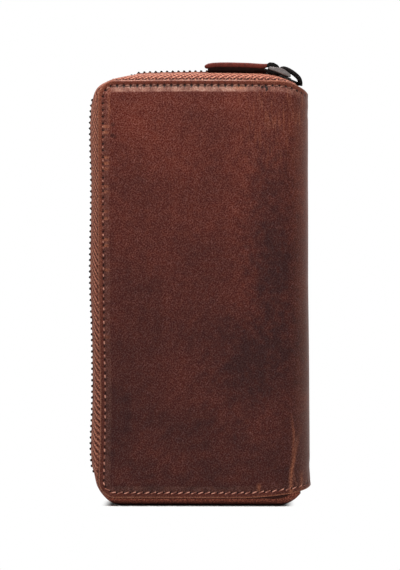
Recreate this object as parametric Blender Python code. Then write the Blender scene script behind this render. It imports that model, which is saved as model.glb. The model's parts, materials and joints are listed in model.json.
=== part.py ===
"""A long zip-around leather wallet, closed and standing on the short lower run of its zip.

Frame: +Z runs up the wallet's length, the front panel faces -Y, the spine is at +X and the zip
opens at -X. The origin is the middle of the bottom, on the surface that the wallet stands on.
All lengths are metres.
"""
import math
from dataclasses import dataclass

import bmesh
import bpy
from mathutils import Vector

MM = 0.001
CLEARANCE = 0.3 * MM          # running gap between pieces that touch or slide

# Leather cover
PANEL_WIDTH = 82.0 * MM       # zip edge of a panel to the fold at the spine
PANEL_HEIGHT = 189.4 * MM     # lower edge of a panel to the top of its bowed upper edge
PANEL_TOP_RISE = 0.6 * MM     # bow of the upper edge
PANEL_CORNER = 9.5 * MM       # radius of the two corners beside the zip
HALF_DEPTH = 13.0 * MM        # middle plane to the outer face, and the radius of the spine
LEATHER = 1.4 * MM            # thickness of the cover leather
PADDING = 0.5 * MM            # the padded field stands this far above the sewn rim
RIM_WIDTH = 3.6 * MM          # sewn rim round the padded field
RIM_SLOPE = 1.0 * MM          # width of the slope between rim and field
RIM_ROUND = 0.45 * MM         # rounding of the cut edge
SPINE_DIP = 6.2 * MM          # the ends of the spine are drawn in by this
SPINE_DIP_SHAPE = 1.5         # 1 draws them in at once past the fold, 2 more slowly

# Layers inside each half, from the cover to the middle plane
BOARD = 0.8 * MM              # stiffening board, and the zip tape that lies beside it
BOARD_MARGIN = 1.2 * MM       # between the board's edge and the tucked tape
LINING = 0.5 * MM
POCKET = 0.6 * MM             # leather of one card pocket
LINING_INSET = 1.5 * MM       # lining edge inside the panel edge
POCKET_INSET = 7.0 * MM       # first card pocket's mouth inside the panel edge
POCKET_STEP = 13.0 * MM       # each next mouth lies this much nearer the spine
POCKET_COUNT = 3
POCKET_END_GAP = 8.0 * MM     # ends of the card pockets inside the ends of the panel
INNER_CORNER = 2.0 * MM       # smallest corner radius of an inner layer

# Middle leaf with the coin pocket
LEAF_HALF = 2.75 * MM         # middle plane to the outer face of the leaf
LEAF_WALL = 0.6 * MM
LEAF_END_GAP = 10.0 * MM      # ends of the leaf inside the ends of the panel
LEAF_INSET = 10.0 * MM        # leaf mouth inside the panel edge
BINDING_WIDTH = 2.0 * MM
GUSSET_DEPTH = 18.0 * MM      # fold depth of the bellows at the ends
GUSSET_LENGTH = 60.0 * MM
GUSSET_LEATHER = 0.5 * MM
SPINE_LINING_INSET = 12.0 * MM

# Zip band
ZIP_BULGE_SIDE = 3.9 * MM     # crown of the zip beyond the long edge of the panels
ZIP_BULGE_TOP = 3.7 * MM      # crown of the zip above the upper edge
PANEL_LIFT = 3.6 * MM         # panels stand this high, on the squashed lower run of the zip
ZIP_TOP_RADIUS = 260.0 * MM   # bow of the upper run, which the slider follows
ZIP_CORNER = 16.0 * MM
ZIP_END_RADIUS = 20.0 * MM    # the lower run curls up beside the spine
ZIP_END_REACH = 7.5 * MM      # the zip ends this far past the fold
ZIP_CURL_START = 4.95 * MM    # the flat lower run ends this far before the fold
TAPE = 0.8 * MM
TAPE_TUCK = 4.5 * MM          # sewn under the panel edge
TAPE_FLAT = 5.0 * MM          # half width of the flat crown
TAPE_FLAT_BASE = 7.5 * MM     # the same where the weight rests on it
TOOTH_PITCH = 2.6 * MM
TOOTH_LENGTH = 1.0 * MM       # along the zip
TOOTH_HEIGHT = 1.9 * MM
TOOTH_PROUD = 0.5 * MM        # above the tape
TOOTH_REACH = 0.95 * MM       # past the middle plane, between the other side's teeth
CORD_INNER = 1.75 * MM        # the cord that carries the teeth, from the middle plane
CORD_WIDTH = 0.6 * MM
CORD_HEIGHT = 1.2 * MM
STOP_LENGTH = 2.4 * MM

# Small zip on the mouth of the coin pocket
COIN_ZIP_RISE = 3.0 * MM      # crown of the coin zip beyond the leaf's mouth
COIN_ZIP_END_GAP = 4.0 * MM   # ends of the coin zip inside the ends of the leaf
COIN_TAPE = 0.5 * MM
COIN_TAPE_LAP = 6.0 * MM      # sewn on the outside of the leaf's walls
COIN_TAPE_FLAT = 2.9 * MM     # half width of the flat crown
COIN_PITCH = 2.0 * MM
COIN_TOOTH_LENGTH = 0.7 * MM
COIN_TOOTH_HEIGHT = 1.3 * MM
COIN_TOOTH_PROUD = 0.3 * MM
COIN_TOOTH_REACH = 0.6 * MM
COIN_CORD_INNER = 1.1 * MM
COIN_CORD_WIDTH = 0.5 * MM
COIN_CORD_HEIGHT = 0.9 * MM
COIN_SLIDER_TAIL = 4.0 * MM
COIN_SLIDER_NOSE = 4.2 * MM
COIN_SLIDER_TAIL_HALF = 2.2 * MM
COIN_SLIDER_NOSE_HALF = 2.8 * MM
COIN_SLIDER_PLATE = 0.6 * MM
COIN_SLIDER_HEADROOM = 0.3 * MM
COIN_SLIDER_POST = 1.4 * MM
COIN_SLIDER_POST_TIP = 1.6 * MM
COIN_CROWN_WIDTH = 1.6 * MM
COIN_CROWN_THICK = 0.6 * MM
COIN_CROWN_HEIGHT = 2.2 * MM
COIN_LINK_WIRE = 0.45 * MM
COIN_LINK_LENGTH = 6.4 * MM
COIN_LINK_HALF = 2.0 * MM     # half width of the coin zip's ring pull at its free end
COIN_LINK_LIFT_DEG = 6.0      # the ring pull's rest, lifted off the slider

# Slider and pull
SLIDER_PAST_FOLD = 3.55 * MM  # slider's middle when the zip is closed
SLIDER_TAIL = 6.0 * MM
SLIDER_NOSE = 6.3 * MM
SLIDER_TAIL_HALF = 3.3 * MM
SLIDER_NOSE_HALF = 4.4 * MM
SLIDER_PLATE = 0.9 * MM
SLIDER_HEADROOM = 0.4 * MM    # over and under the teeth
SLIDER_POST = 2.2 * MM        # width of the wedge that parts the teeth
SLIDER_POST_TIP = 2.2 * MM
CROWN_WIDTH = 2.4 * MM
CROWN_THICK = 0.9 * MM
CROWN_HEIGHT = 3.1 * MM       # above the slider's top plate
LINK_WIRE = 0.6 * MM          # radius of the pull link's bar
LINK_LENGTH = 9.6 * MM        # pivot to pivot
LINK_PIVOT = 0.5 * MM         # along the slider
STRAP_LENGTH = 31.0 * MM
STRAP_WIDTH = 6.5 * MM
STRAP_THICK = 3.0 * MM        # two layers of the folded strap
STRAP_LOOP = 2.2 * MM         # outer radius of the loop round the link
STRAP_LEATHER = 1.2 * MM
STRAP_SLIT = 0.1 * MM         # between the two layers

# Places that follow from the sizes
ZIP_WIDTH = TOOTH_PROUD + ZIP_BULGE_SIDE
CROWN_LEFT = -0.5 * (ZIP_WIDTH + PANEL_WIDTH + HALF_DEPTH) + TOOTH_PROUD
PANEL_LEFT = CROWN_LEFT + ZIP_BULGE_SIDE
FOLD_X = PANEL_LEFT + PANEL_WIDTH
PANEL_MID_X = PANEL_LEFT + 0.5 * PANEL_WIDTH
PANEL_MID_Z = PANEL_LIFT + 0.5 * PANEL_HEIGHT
ZIP_TOP = PANEL_LIFT + PANEL_HEIGHT + ZIP_BULGE_TOP
TOP_CENTRE_Z = ZIP_TOP - ZIP_TOP_RADIUS
COVER_INNER = HALF_DEPTH - LEATHER
BOARD_OUTER = COVER_INNER - CLEARANCE
LINING_OUTER = BOARD_OUTER - BOARD - CLEARANCE
POCKET_OUTER = LINING_OUTER - LINING - CLEARANCE
POCKET_PITCH = POCKET + CLEARANCE
POCKETS_INNER = POCKET_OUTER - (POCKET_COUNT - 1) * POCKET_PITCH - POCKET
ZIP_END_X = FOLD_X + ZIP_END_REACH
ZIP_BASE_END = FOLD_X - ZIP_CURL_START
POCKET_HEIGHT = PANEL_HEIGHT - 2 * POCKET_END_GAP
LEAF_HEIGHT = PANEL_HEIGHT - 2 * LEAF_END_GAP
LEAF_LEFT = PANEL_LEFT + LEAF_INSET
LEAF_LOW = PANEL_MID_Z - 0.5 * LEAF_HEIGHT
SLIDER_REST_X = FOLD_X + SLIDER_PAST_FOLD
SLIDER_REST = math.asin(SLIDER_REST_X / ZIP_TOP_RADIUS)
COIN_CROWN_X = LEAF_LEFT - COIN_ZIP_RISE
COIN_LOW = LEAF_LOW + COIN_ZIP_END_GAP
COIN_HIGH = LEAF_LOW + LEAF_HEIGHT - COIN_ZIP_END_GAP


@dataclass(frozen=True)
class Teeth:
    """One size of zip teeth, with the cord that carries them."""

    pitch: float
    length: float
    height: float
    proud: float
    reach: float
    cord_inner: float
    cord_width: float
    cord_height: float

    @property
    def half(self):
        """Middle plane to the outside of the cord."""
        return self.cord_inner + self.cord_width


@dataclass(frozen=True)
class Slider:
    """One size of slider, with its crown. Heights count from the crown of the tape."""

    teeth: Teeth
    tape: float
    tail: float
    nose: float
    tail_half: float
    nose_half: float
    plate: float
    headroom: float
    post: float
    post_tip: float
    crown_width: float
    crown_thick: float
    crown_height: float

    @property
    def roof(self):
        """Underside of the top plate."""
        return self.teeth.proud + self.headroom

    @property
    def top(self):
        """Outside of the top plate."""
        return self.roof + self.plate

    @property
    def sill(self):
        """Upper side of the bottom plate."""
        return self.teeth.proud - self.teeth.height - self.headroom

    @property
    def pivot_height(self):
        """Axis of the pull, in the middle of the space under the crown."""
        return self.top + 0.5 * (self.crown_height - self.crown_thick)

    @property
    def chain_end(self):
        """The closed teeth end here, short of the wedge."""
        return self.post_tip - 2 * CLEARANCE


MAIN_TEETH = Teeth(
    TOOTH_PITCH, TOOTH_LENGTH, TOOTH_HEIGHT, TOOTH_PROUD, TOOTH_REACH,
    CORD_INNER, CORD_WIDTH, CORD_HEIGHT,
)
COIN_TEETH = Teeth(
    COIN_PITCH, COIN_TOOTH_LENGTH, COIN_TOOTH_HEIGHT, COIN_TOOTH_PROUD, COIN_TOOTH_REACH,
    COIN_CORD_INNER, COIN_CORD_WIDTH, COIN_CORD_HEIGHT,
)
MAIN_SLIDER = Slider(
    MAIN_TEETH, TAPE, SLIDER_TAIL, SLIDER_NOSE, SLIDER_TAIL_HALF, SLIDER_NOSE_HALF,
    SLIDER_PLATE, SLIDER_HEADROOM, SLIDER_POST, SLIDER_POST_TIP,
    CROWN_WIDTH, CROWN_THICK, CROWN_HEIGHT,
)
COIN_SLIDER = Slider(
    COIN_TEETH, COIN_TAPE, COIN_SLIDER_TAIL, COIN_SLIDER_NOSE, COIN_SLIDER_TAIL_HALF,
    COIN_SLIDER_NOSE_HALF, COIN_SLIDER_PLATE, COIN_SLIDER_HEADROOM, COIN_SLIDER_POST,
    COIN_SLIDER_POST_TIP, COIN_CROWN_WIDTH, COIN_CROWN_THICK, COIN_CROWN_HEIGHT,
)
COIN_REST_Z = COIN_HIGH - COIN_SLIDER_NOSE - 2 * CLEARANCE
LINK_PIVOT_HEIGHT = ZIP_TOP_RADIUS + MAIN_SLIDER.pivot_height
LINK_PIVOT_Z = (
    TOP_CENTRE_Z + LINK_PIVOT_HEIGHT * math.cos(SLIDER_REST) - LINK_PIVOT * math.sin(SLIDER_REST)
)
STRAP_REST_Z = ZIP_TOP + TOOTH_PROUD + CLEARANCE + 0.5 * STRAP_THICK
LINK_REST = math.asin((STRAP_REST_Z - LINK_PIVOT_Z) / LINK_LENGTH)


def clear_scene():
    for old in list(bpy.data.objects):
        bpy.data.objects.remove(old, do_unlink=True)


def material(name, colour, roughness, metallic=0.0):
    """A plain Principled material."""
    made = bpy.data.materials.new(name)
    made.use_nodes = True
    shader = made.node_tree.nodes["Principled BSDF"]
    shader.inputs["Base Color"].default_value = (*colour, 1.0)
    shader.inputs["Roughness"].default_value = roughness
    shader.inputs["Metallic"].default_value = metallic
    return made


def pivot(name, place, parent=None, turn=0.0):
    """An empty on a joint's axis; turn is about Y, in radians."""
    made = bpy.data.objects.new(name, None)
    made.empty_display_size = 0.005
    made.location = place
    made.rotation_euler = (0.0, turn, 0.0)
    made.parent = parent
    bpy.context.scene.collection.objects.link(made)
    return made


def finish(name, mesh_data, finish_material, parent=None, shift=(0.0, 0.0, 0.0), bevel=0.0):
    """Turns a bmesh into a named object with outward faces, moved by a shift into its parent."""
    bmesh.ops.recalc_face_normals(mesh_data, faces=mesh_data.faces)
    bmesh.ops.translate(mesh_data, verts=mesh_data.verts, vec=shift)
    mesh = bpy.data.meshes.new(name)
    mesh_data.to_mesh(mesh)
    mesh_data.free()
    mesh.shade_smooth()
    mesh.set_sharp_from_angle(angle=math.radians(35))
    mesh.materials.append(finish_material)
    made = bpy.data.objects.new(name, mesh)
    made.parent = parent
    bpy.context.scene.collection.objects.link(made)
    if bevel:
        edge = made.modifiers.new("edge", "BEVEL")
        edge.width = bevel
        edge.segments = 1
        edge.limit_method = "ANGLE"
        edge.angle_limit = math.radians(40)
    return made


def loft(rings, closed=False):
    """Joins rings of equal point count into one skin, capped at both ends unless it is closed."""
    mesh_data = bmesh.new()
    rows = [[mesh_data.verts.new(point) for point in ring] for ring in rings]
    count = len(rows[0])
    pairs = list(zip(rows, rows[1:]))
    if closed:
        pairs.append((rows[-1], rows[0]))
    for low, high in pairs:
        for index in range(count):
            after = (index + 1) % count
            mesh_data.faces.new((low[index], low[after], high[after], high[index]))
    if not closed:
        mesh_data.faces.new(rows[0])
        mesh_data.faces.new(rows[-1])
    return mesh_data


def prism(outline, axis, low, high):
    """Extrudes an outline along Y ("y") or along Z ("z"), or one in Y and Z along X ("x")."""
    def at(first, second, depth):
        if axis == "y":
            return (first, depth, second)
        if axis == "z":
            return (first, second, depth)
        return (depth, first, second)
    return loft([[at(a, b, depth) for a, b in outline] for depth in (low, high)])


def arc(centre, radius, start_deg, end_deg, steps):
    """Points on an arc, both ends included."""
    points = []
    for step in range(steps + 1):
        angle = math.radians(start_deg + (end_deg - start_deg) * step / steps)
        points.append((centre[0] + radius * math.cos(angle), centre[1] + radius * math.sin(angle)))
    return points


def spread(low, high, steps):
    """Even values from low to high, both ends included."""
    return [low + (high - low) * step / steps for step in range(steps + 1)]


def panel_top(x):
    """Height of a panel's bowed upper edge."""
    off = (x - PANEL_MID_X) / (0.5 * PANEL_WIDTH)
    return PANEL_LIFT + PANEL_HEIGHT - PANEL_TOP_RISE * off * off


def spine_dip(past):
    """How far the ends of the spine are drawn in at a place this far past the fold in X."""
    return SPINE_DIP * (max(past, 0.0) / HALF_DEPTH) ** SPINE_DIP_SHAPE


def panel_outline(inset, right):
    """A panel's outline in X and Z, drawn in by inset on its three sewn sides."""
    left = PANEL_LEFT + inset
    low = PANEL_LIFT + inset
    radius = max(PANEL_CORNER - inset, INNER_CORNER)
    corner_x = left + radius
    corner_top = panel_top(corner_x) - inset - radius
    points = [(right, low)]
    points += arc((corner_x, low + radius), radius, 270, 180, 5)
    points += arc((corner_x, corner_top), radius, 180, 90, 5)
    points += [(x, panel_top(x) - inset) for x in spread(corner_x, right, 6)[1:]]
    return points


def rectangle(left, right, low, high, radius):
    """A rectangle whose two left corners are rounded."""
    points = [(right, low)]
    points += arc((left + radius, low + radius), radius, 270, 180, 3)
    points += arc((left + radius, high - radius), radius, 180, 90, 3)
    points.append((right, high))
    return points


def cover_profile():
    """Steps of the cover's skin as (inset from the edge, distance from the middle plane)."""
    rim = HALF_DEPTH - PADDING
    return [
        (0.0, COVER_INNER),
        (0.0, rim - RIM_ROUND),
        (RIM_ROUND, rim),
        (RIM_WIDTH, rim),
        (RIM_WIDTH + RIM_SLOPE, HALF_DEPTH),
    ]


def build_cover(name, side, finish_material, parent, shift):
    """One outer panel: sewn rim, padded field, open to the spine."""
    right = FOLD_X - 0.5 * CLEARANCE
    rings = []
    for inset, depth in cover_profile():
        rings.append([(x, side * depth, z) for x, z in panel_outline(inset, right)])
    return finish(name, loft(rings), finish_material, parent, shift)


def build_spine(name, finish_material, parent, shift):
    """The half-round back of the cover, with its ends drawn in."""
    profile = cover_profile()
    low_fold = PANEL_LIFT
    high_fold = panel_top(FOLD_X)
    margin = math.degrees(0.5 * CLEARANCE / COVER_INNER)
    rings = []
    for angle in spread(-90 + margin, 90 - margin, 14):
        turn = math.radians(angle)
        dip = spine_dip(HALF_DEPTH * math.cos(turn))
        section = [(depth, low_fold + dip + inset) for inset, depth in profile]
        section += [(depth, high_fold - dip - inset) for inset, depth in reversed(profile)]
        rings.append(
            [(FOLD_X + r * math.cos(turn), r * math.sin(turn), z) for r, z in section]
        )
    return finish(name, loft(rings), finish_material, parent, shift)


def build_spine_lining(name, finish_material, parent, shift):
    """Thin lining inside the spine."""
    low = PANEL_LIFT + SPINE_LINING_INSET
    high = panel_top(FOLD_X) - SPINE_LINING_INSET
    outer = BOARD_OUTER
    inner = outer - LINING
    rings = []
    for angle in spread(-84, 84, 12):
        turn = math.radians(angle)
        section = [(inner, low), (outer, low), (outer, high), (inner, high)]
        rings.append(
            [(FOLD_X + r * math.cos(turn), r * math.sin(turn), z) for r, z in section]
        )
    return finish(name, loft(rings), finish_material, parent, shift)


def top_run(x):
    """Crown of the zip on its bowed upper run."""
    return (x, TOP_CENTRE_Z + math.sqrt(ZIP_TOP_RADIUS ** 2 - x * x))


def zip_stations(fine):
    """Pairs of points in X and Z, from the lower end round to the upper end of the zip.

    The first is on the edge of the panels and the second on the crown of the zip. fine is the
    number of steps in each corner.
    """
    stations = []
    curl = math.degrees(math.asin((ZIP_END_X - ZIP_BASE_END) / ZIP_END_RADIUS))
    curl_centre = (ZIP_BASE_END, ZIP_END_RADIUS)
    crown = arc(curl_centre, ZIP_END_RADIUS, 270 + curl, 270, fine)
    edge = arc(curl_centre, ZIP_END_RADIUS - PANEL_LIFT, 270 + curl, 270, fine)
    stations += list(zip(edge, crown))
    edge_corner = PANEL_LEFT + PANEL_CORNER
    crown_corner = CROWN_LEFT + ZIP_CORNER
    crown = arc((crown_corner, ZIP_CORNER), ZIP_CORNER, 270, 180, fine)
    edge = arc((edge_corner, PANEL_LIFT + PANEL_CORNER), PANEL_CORNER, 270, 180, fine)
    stations += list(zip(edge, crown))
    reach = ZIP_TOP_RADIUS - ZIP_CORNER
    crown_corner_z = TOP_CENTRE_Z + math.sqrt(reach ** 2 - crown_corner ** 2)
    lean = math.degrees(math.asin(-crown_corner / reach))
    edge_corner_z = panel_top(edge_corner) - PANEL_CORNER
    crown = arc((crown_corner, crown_corner_z), ZIP_CORNER, 180, 90 + lean, fine)
    edge = arc((edge_corner, edge_corner_z), PANEL_CORNER, 180, 90, fine)
    stations += list(zip(edge, crown))
    for x in spread(crown[-1][0], ZIP_END_X, 2 * fine)[1:]:
        edge_z = panel_top(min(x, FOLD_X)) - spine_dip(x - FOLD_X)
        stations.append(((x, edge_z), top_run(x)))
    return stations


def tape_half_width(x):
    """Half the depth between the covers that the tape can fill at this place."""
    past = max(x - FOLD_X, 0.0)
    return math.sqrt(COVER_INNER ** 2 - past * past) - CLEARANCE


def tape_section(edge, crown, side, wide, flat, tape, tuck, inner_edge):
    """Section of one zip tape: tucked beside the edge, round it, and flat at the crown."""
    edge = Vector(edge)
    crown = Vector(crown)
    bulge = (crown - edge).length
    out = (crown - edge).normalized()
    outer = [(-bulge - tuck, wide)]
    inner = [(-bulge - tuck, wide - tape)]
    for angle in spread(0.0, 0.5 * math.pi, 4):
        across = math.cos(angle)
        rise = math.sin(angle)
        outer.append((-bulge + bulge * rise, flat + (wide - flat) * across))
        inner.append((-bulge + (bulge - tape) * rise, flat + (wide - tape - flat) * across))
    outer.append((0.0, inner_edge))
    inner.append((-tape, inner_edge))
    ring = []
    for height, depth in outer + inner[::-1]:
        place = crown + out * height
        ring.append((place.x, side * depth, place.y))
    return ring


def build_tape(name, side, finish_material, parent, shift):
    """One woven half of the main zip."""
    inner_edge = MAIN_TEETH.half + CLEARANCE
    rings = []
    for edge, crown in zip_stations(7):
        wide = tape_half_width(edge[0])
        on_base = max(0.0, 1.0 - crown[1] / ZIP_CORNER)
        flat = TAPE_FLAT + (TAPE_FLAT_BASE - TAPE_FLAT) * on_base
        flat = min(flat, wide - 2 * TAPE)
        rings.append(tape_section(edge, crown, side, wide, flat, TAPE, TAPE_TUCK, inner_edge))
    return finish(name, loft(rings), finish_material, parent, shift)


def build_coin_tape(name, side, finish_material, parent, shift):
    """One woven half of the coin zip, sewn on the outside of the leaf's wall."""
    wide = LEAF_HALF + CLEARANCE + COIN_TAPE
    inner_edge = COIN_TEETH.half + CLEARANCE
    rings = []
    for z in (COIN_LOW, COIN_HIGH):
        edge = (LEAF_LEFT, z)
        crown = (COIN_CROWN_X, z)
        rings.append(
            tape_section(edge, crown, side, wide, COIN_TAPE_FLAT, COIN_TAPE, COIN_TAPE_LAP, inner_edge)
        )
    return finish(name, loft(rings), finish_material, parent, shift)


def chain_path():
    """The zip's crown as fine points, with the outward direction and distance along it at each."""
    path = []
    along = 0.0
    last = None
    for edge, crown in zip_stations(24):
        edge = Vector(edge)
        crown = Vector(crown)
        if last is not None:
            if (crown - last).length < 1e-7:
                continue
            along += (crown - last).length
        out = (crown - edge).normalized()
        path.append((along, crown, out))
        last = crown
    return path


def chain_point(path, along):
    """Crown point and outward direction at a distance along the zip."""
    for (start, first, out_first), (end, second, out_second) in zip(path, path[1:]):
        if along <= end:
            share = (along - start) / (end - start)
            return first.lerp(second, share), out_first.lerp(out_second, share).normalized()
    return path[-1][1], path[-1][2]


def chain_sink(crown):
    """How far the teeth sink into the tape where the wallet's weight rests on them."""
    on_base = max(0.0, 1.0 - crown.y / (0.3 * ZIP_CORNER))
    return (TOOTH_PROUD + 0.1 * MM) * on_base


def rest_distance(path):
    """Distance along the zip at which the slider's middle rests."""
    rest = Vector(top_run(SLIDER_REST_X))
    return min(path, key=lambda item: (item[1] - rest).length)[0]


def coin_chain_path():
    """The coin zip's crown, straight up the leaf's mouth."""
    out = Vector((-1.0, 0.0))
    low = Vector((COIN_CROWN_X, COIN_LOW))
    high = Vector((COIN_CROWN_X, COIN_HIGH))
    return [(0.0, low, out), (COIN_HIGH - COIN_LOW, high, out)]


def build_chain(name, side, path, first, last, teeth, finish_material, parent, shift, sink=None):
    """One side of the teeth: a cord with a tooth at each pitch, set between the other side's."""
    offset = 0.25 * teeth.pitch * (1 + side)
    start_middle = first + offset + 0.5 * teeth.length
    count = int((last - teeth.length - start_middle) / teeth.pitch) + 1
    half_tooth = 0.5 * teeth.length
    mesh_data = bmesh.new()

    def point(along, height, depth):
        crown, out = chain_point(path, along)
        if sink is not None:
            height -= sink(crown)
        place = crown + out * height
        return mesh_data.verts.new((place.x, side * depth, place.y))

    cord_top = teeth.proud - 0.5 * (teeth.height - teeth.cord_height)
    cord_low = cord_top - teeth.cord_height
    tooth_low = teeth.proud - teeth.height

    def ring(along):
        corners = [(cord_low, teeth.half), (cord_top, teeth.half)]
        corners += [(cord_top, teeth.cord_inner), (cord_low, teeth.cord_inner)]
        return [point(along, height, depth) for height, depth in corners]

    def wall(low, high, sides):
        for index in sides:
            after = (index + 1) % 4
            mesh_data.faces.new((low[index], low[after], high[after], high[index]))

    before = None
    for number in range(count):
        middle = start_middle + number * teeth.pitch
        start = ring(middle - half_tooth)
        end = ring(middle + half_tooth)
        if before is None:
            mesh_data.faces.new(start)
        else:
            wall(before, start, range(4))
        wall(start, end, (0, 1, 3))
        root = [start[2], start[3], end[3], end[2]]
        corners = [(-half_tooth, teeth.proud), (-half_tooth, tooth_low)]
        corners += [(half_tooth, tooth_low), (half_tooth, teeth.proud)]
        tip = [point(middle + step, height, -teeth.reach) for step, height in corners]
        wall(root, tip, range(4))
        mesh_data.faces.new(tip)
        before = end
    mesh_data.faces.new(before)
    return finish(name, mesh_data, finish_material, parent, shift)


def build_end_stop(name, finish_material):
    """The staple that closes the lower end of the zip."""
    path = chain_path()
    low = TOOTH_PROUD - TOOTH_HEIGHT
    wide = CORD_INNER + CORD_WIDTH
    rings = []
    for along in (0.0, STOP_LENGTH):
        crown, out = chain_point(path, along)
        corners = [(low, -wide), (TOOTH_PROUD, -wide), (TOOTH_PROUD, wide), (low, wide)]
        places = [(crown + out * (height - chain_sink(crown)), depth) for height, depth in corners]
        rings.append([(place.x, depth, place.y) for place, depth in places])
    return finish(name, loft(rings), finish_material, bevel=0.2 * MM)


def build_layers(half, side, finishes, parent, shift):
    """Board, lining and stepped card pockets of one half."""
    right = FOLD_X - CLEARANCE
    board = panel_outline(TAPE_TUCK + BOARD_MARGIN, right)
    outer = side * BOARD_OUTER
    inner = side * (BOARD_OUTER - BOARD)
    finish(half + "_stiffener", prism(board, "y", outer, inner), finishes["board"], parent, shift)
    lining = panel_outline(LINING_INSET, right)
    outer = side * LINING_OUTER
    inner = side * (LINING_OUTER - LINING)
    finish(half + "_lining", prism(lining, "y", outer, inner), finishes["lining"], parent, shift)
    low = PANEL_MID_Z - 0.5 * POCKET_HEIGHT
    for number in range(POCKET_COUNT):
        left = PANEL_LEFT + POCKET_INSET + number * POCKET_STEP
        shape = rectangle(left, right, low, low + POCKET_HEIGHT, INNER_CORNER)
        face = POCKET_OUTER - number * POCKET_PITCH
        body = prism(shape, "y", side * face, side * (face - POCKET))
        finish(f"{half}_card_pocket_{number + 1}", body, finishes["pocket"], parent, shift)


def build_leaf(finishes, parent, shift):
    """The middle leaf: two walls of the coin pocket and the binding that joins them."""
    left = LEAF_LEFT
    right = FOLD_X + BOARD_OUTER - LINING - CLEARANCE
    reach = LEAF_HALF / (BOARD_OUTER - LINING)
    right -= (BOARD_OUTER - LINING) * (1.0 - math.sqrt(1.0 - reach * reach))
    low = LEAF_LOW
    high = LEAF_LOW + LEAF_HEIGHT
    shape = rectangle(left, right, low, high, INNER_CORNER)
    for half, side in (("front", -1), ("back", 1)):
        body = prism(shape, "y", side * LEAF_HALF, side * (LEAF_HALF - LEAF_WALL))
        finish(f"coin_pocket_{half}_wall", body, finishes["pocket"], parent, shift)
    inside = right - BINDING_WIDTH
    mouth = left + INNER_CORNER
    outline = [(mouth, low), (right, low), (right, high), (mouth, high)]
    outline += [(mouth, high - BINDING_WIDTH), (inside, high - BINDING_WIDTH)]
    outline += [(inside, low + BINDING_WIDTH), (mouth, low + BINDING_WIDTH)]
    deep = LEAF_HALF - LEAF_WALL - CLEARANCE
    binding = prism(outline, "y", -deep, deep)
    finish("coin_pocket_binding", binding, finishes["lining"], parent, shift)


def build_gusset(name, side, end, finish_material, parent, shift):
    """One V-folded bellows between the card pockets and the leaf; end is 1 above and -1 below."""
    outer = POCKETS_INNER - CLEARANCE
    inner = LEAF_HALF + CLEARANCE
    middle = 0.5 * (outer + inner)
    mouth = PANEL_MID_Z + end * 0.5 * LEAF_HEIGHT
    fold = mouth - end * GUSSET_DEPTH
    crotch = fold + end * GUSSET_LEATHER * GUSSET_DEPTH / (outer - inner)
    half = 0.25 * GUSSET_LEATHER
    outline = [(outer, mouth), (middle + half, fold), (middle - half, fold), (inner, mouth)]
    outline += [(inner + GUSSET_LEATHER, mouth), (middle, crotch), (outer - GUSSET_LEATHER, mouth)]
    outline = [(side * depth, z) for depth, z in outline]
    right = FOLD_X - 4 * CLEARANCE
    body = prism(outline, "x", right - GUSSET_LENGTH, right)
    return finish(name, body, finish_material, parent, shift)


def slider_plan(size):
    """Plan of a slider: narrow tail, broad nose, cut corners."""
    corner = size.plate
    half = [(-size.tail, size.tail_half - corner), (-size.tail + corner, size.tail_half)]
    half += [(0.3 * size.nose, size.nose_half), (size.nose - corner, size.nose_half)]
    half += [(size.nose, size.nose_half - corner)]
    return half + [(along, -across) for along, across in reversed(half)]


def slider_gap(size, tail_half, nose_half):
    """Plan of a way through a slider, parted at the nose by the wedge."""
    long = size.nose + size.tail
    post = 0.5 * size.post
    half = [(-long, tail_half), (0.0, tail_half), (size.nose, nose_half), (long, nose_half)]
    half += [(long, post), (size.post_tip + post, post)]
    plan = half + [(size.post_tip, 0.0)]
    return plan + [(along, -across) for along, across in reversed(half)]


def cut(target, name, body, parent):
    """Takes a hidden cutter out of a piece."""
    cutter = finish(name, body, target.data.materials[0], parent)
    cutter.hide_render = True
    cutter.display_type = "WIRE"
    step = target.modifiers.new(name, "BOOLEAN")
    step.operation = "DIFFERENCE"
    step.solver = "EXACT"
    step.object = cutter


def build_slider(prefix, size, crown_of_zip, finish_material, parent):
    """Slider body with its two plates, and the crown over them.

    It lies along X in its parent's frame, with the crown of the tape at the given height.
    """
    base = crown_of_zip
    body = prism(slider_plan(size), "z", base + size.sill - size.plate, base + size.top)
    slider = finish(prefix + "slider_body", body, finish_material, parent, bevel=0.4 * size.plate)
    ways = slider_gap(size, size.teeth.half + size.headroom, size.nose_half - size.plate)
    teeth_way = prism(ways, "z", base + size.sill, base + size.roof)
    cut(slider, prefix + "teeth_way", teeth_way, parent)
    wide = size.nose_half + size.plate
    slots = slider_gap(size, wide, wide)
    tape_way = prism(slots, "z", base - size.tape - size.headroom, base + size.headroom)
    cut(slider, prefix + "tape_way", tape_way, parent)
    foot = base + size.top + CLEARANCE
    top = base + size.top + size.crown_height
    thick = size.crown_thick
    tail = -0.75 * size.tail
    nose = 0.72 * size.nose
    bend = 1.35 * thick
    outer = [(tail, foot)] + arc((tail + bend, top - bend), bend, 180, 90, 3)
    outer += arc((nose - 2 * bend, top - 2 * bend), 2 * bend, 90, 0, 4) + [(nose, foot)]
    inner = [(tail + thick, foot)]
    inner += arc((tail + bend, top - bend), bend - thick, 180, 90, 3)
    inner += arc((nose - 2 * bend, top - 2 * bend), 2 * bend - thick, 90, 0, 4)
    inner += [(nose - thick, foot)]
    arch = prism(outer + inner[::-1], "y", -0.5 * size.crown_width, 0.5 * size.crown_width)
    finish(prefix + "slider_crown", arch, finish_material, parent, bevel=0.2 * thick)


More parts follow.
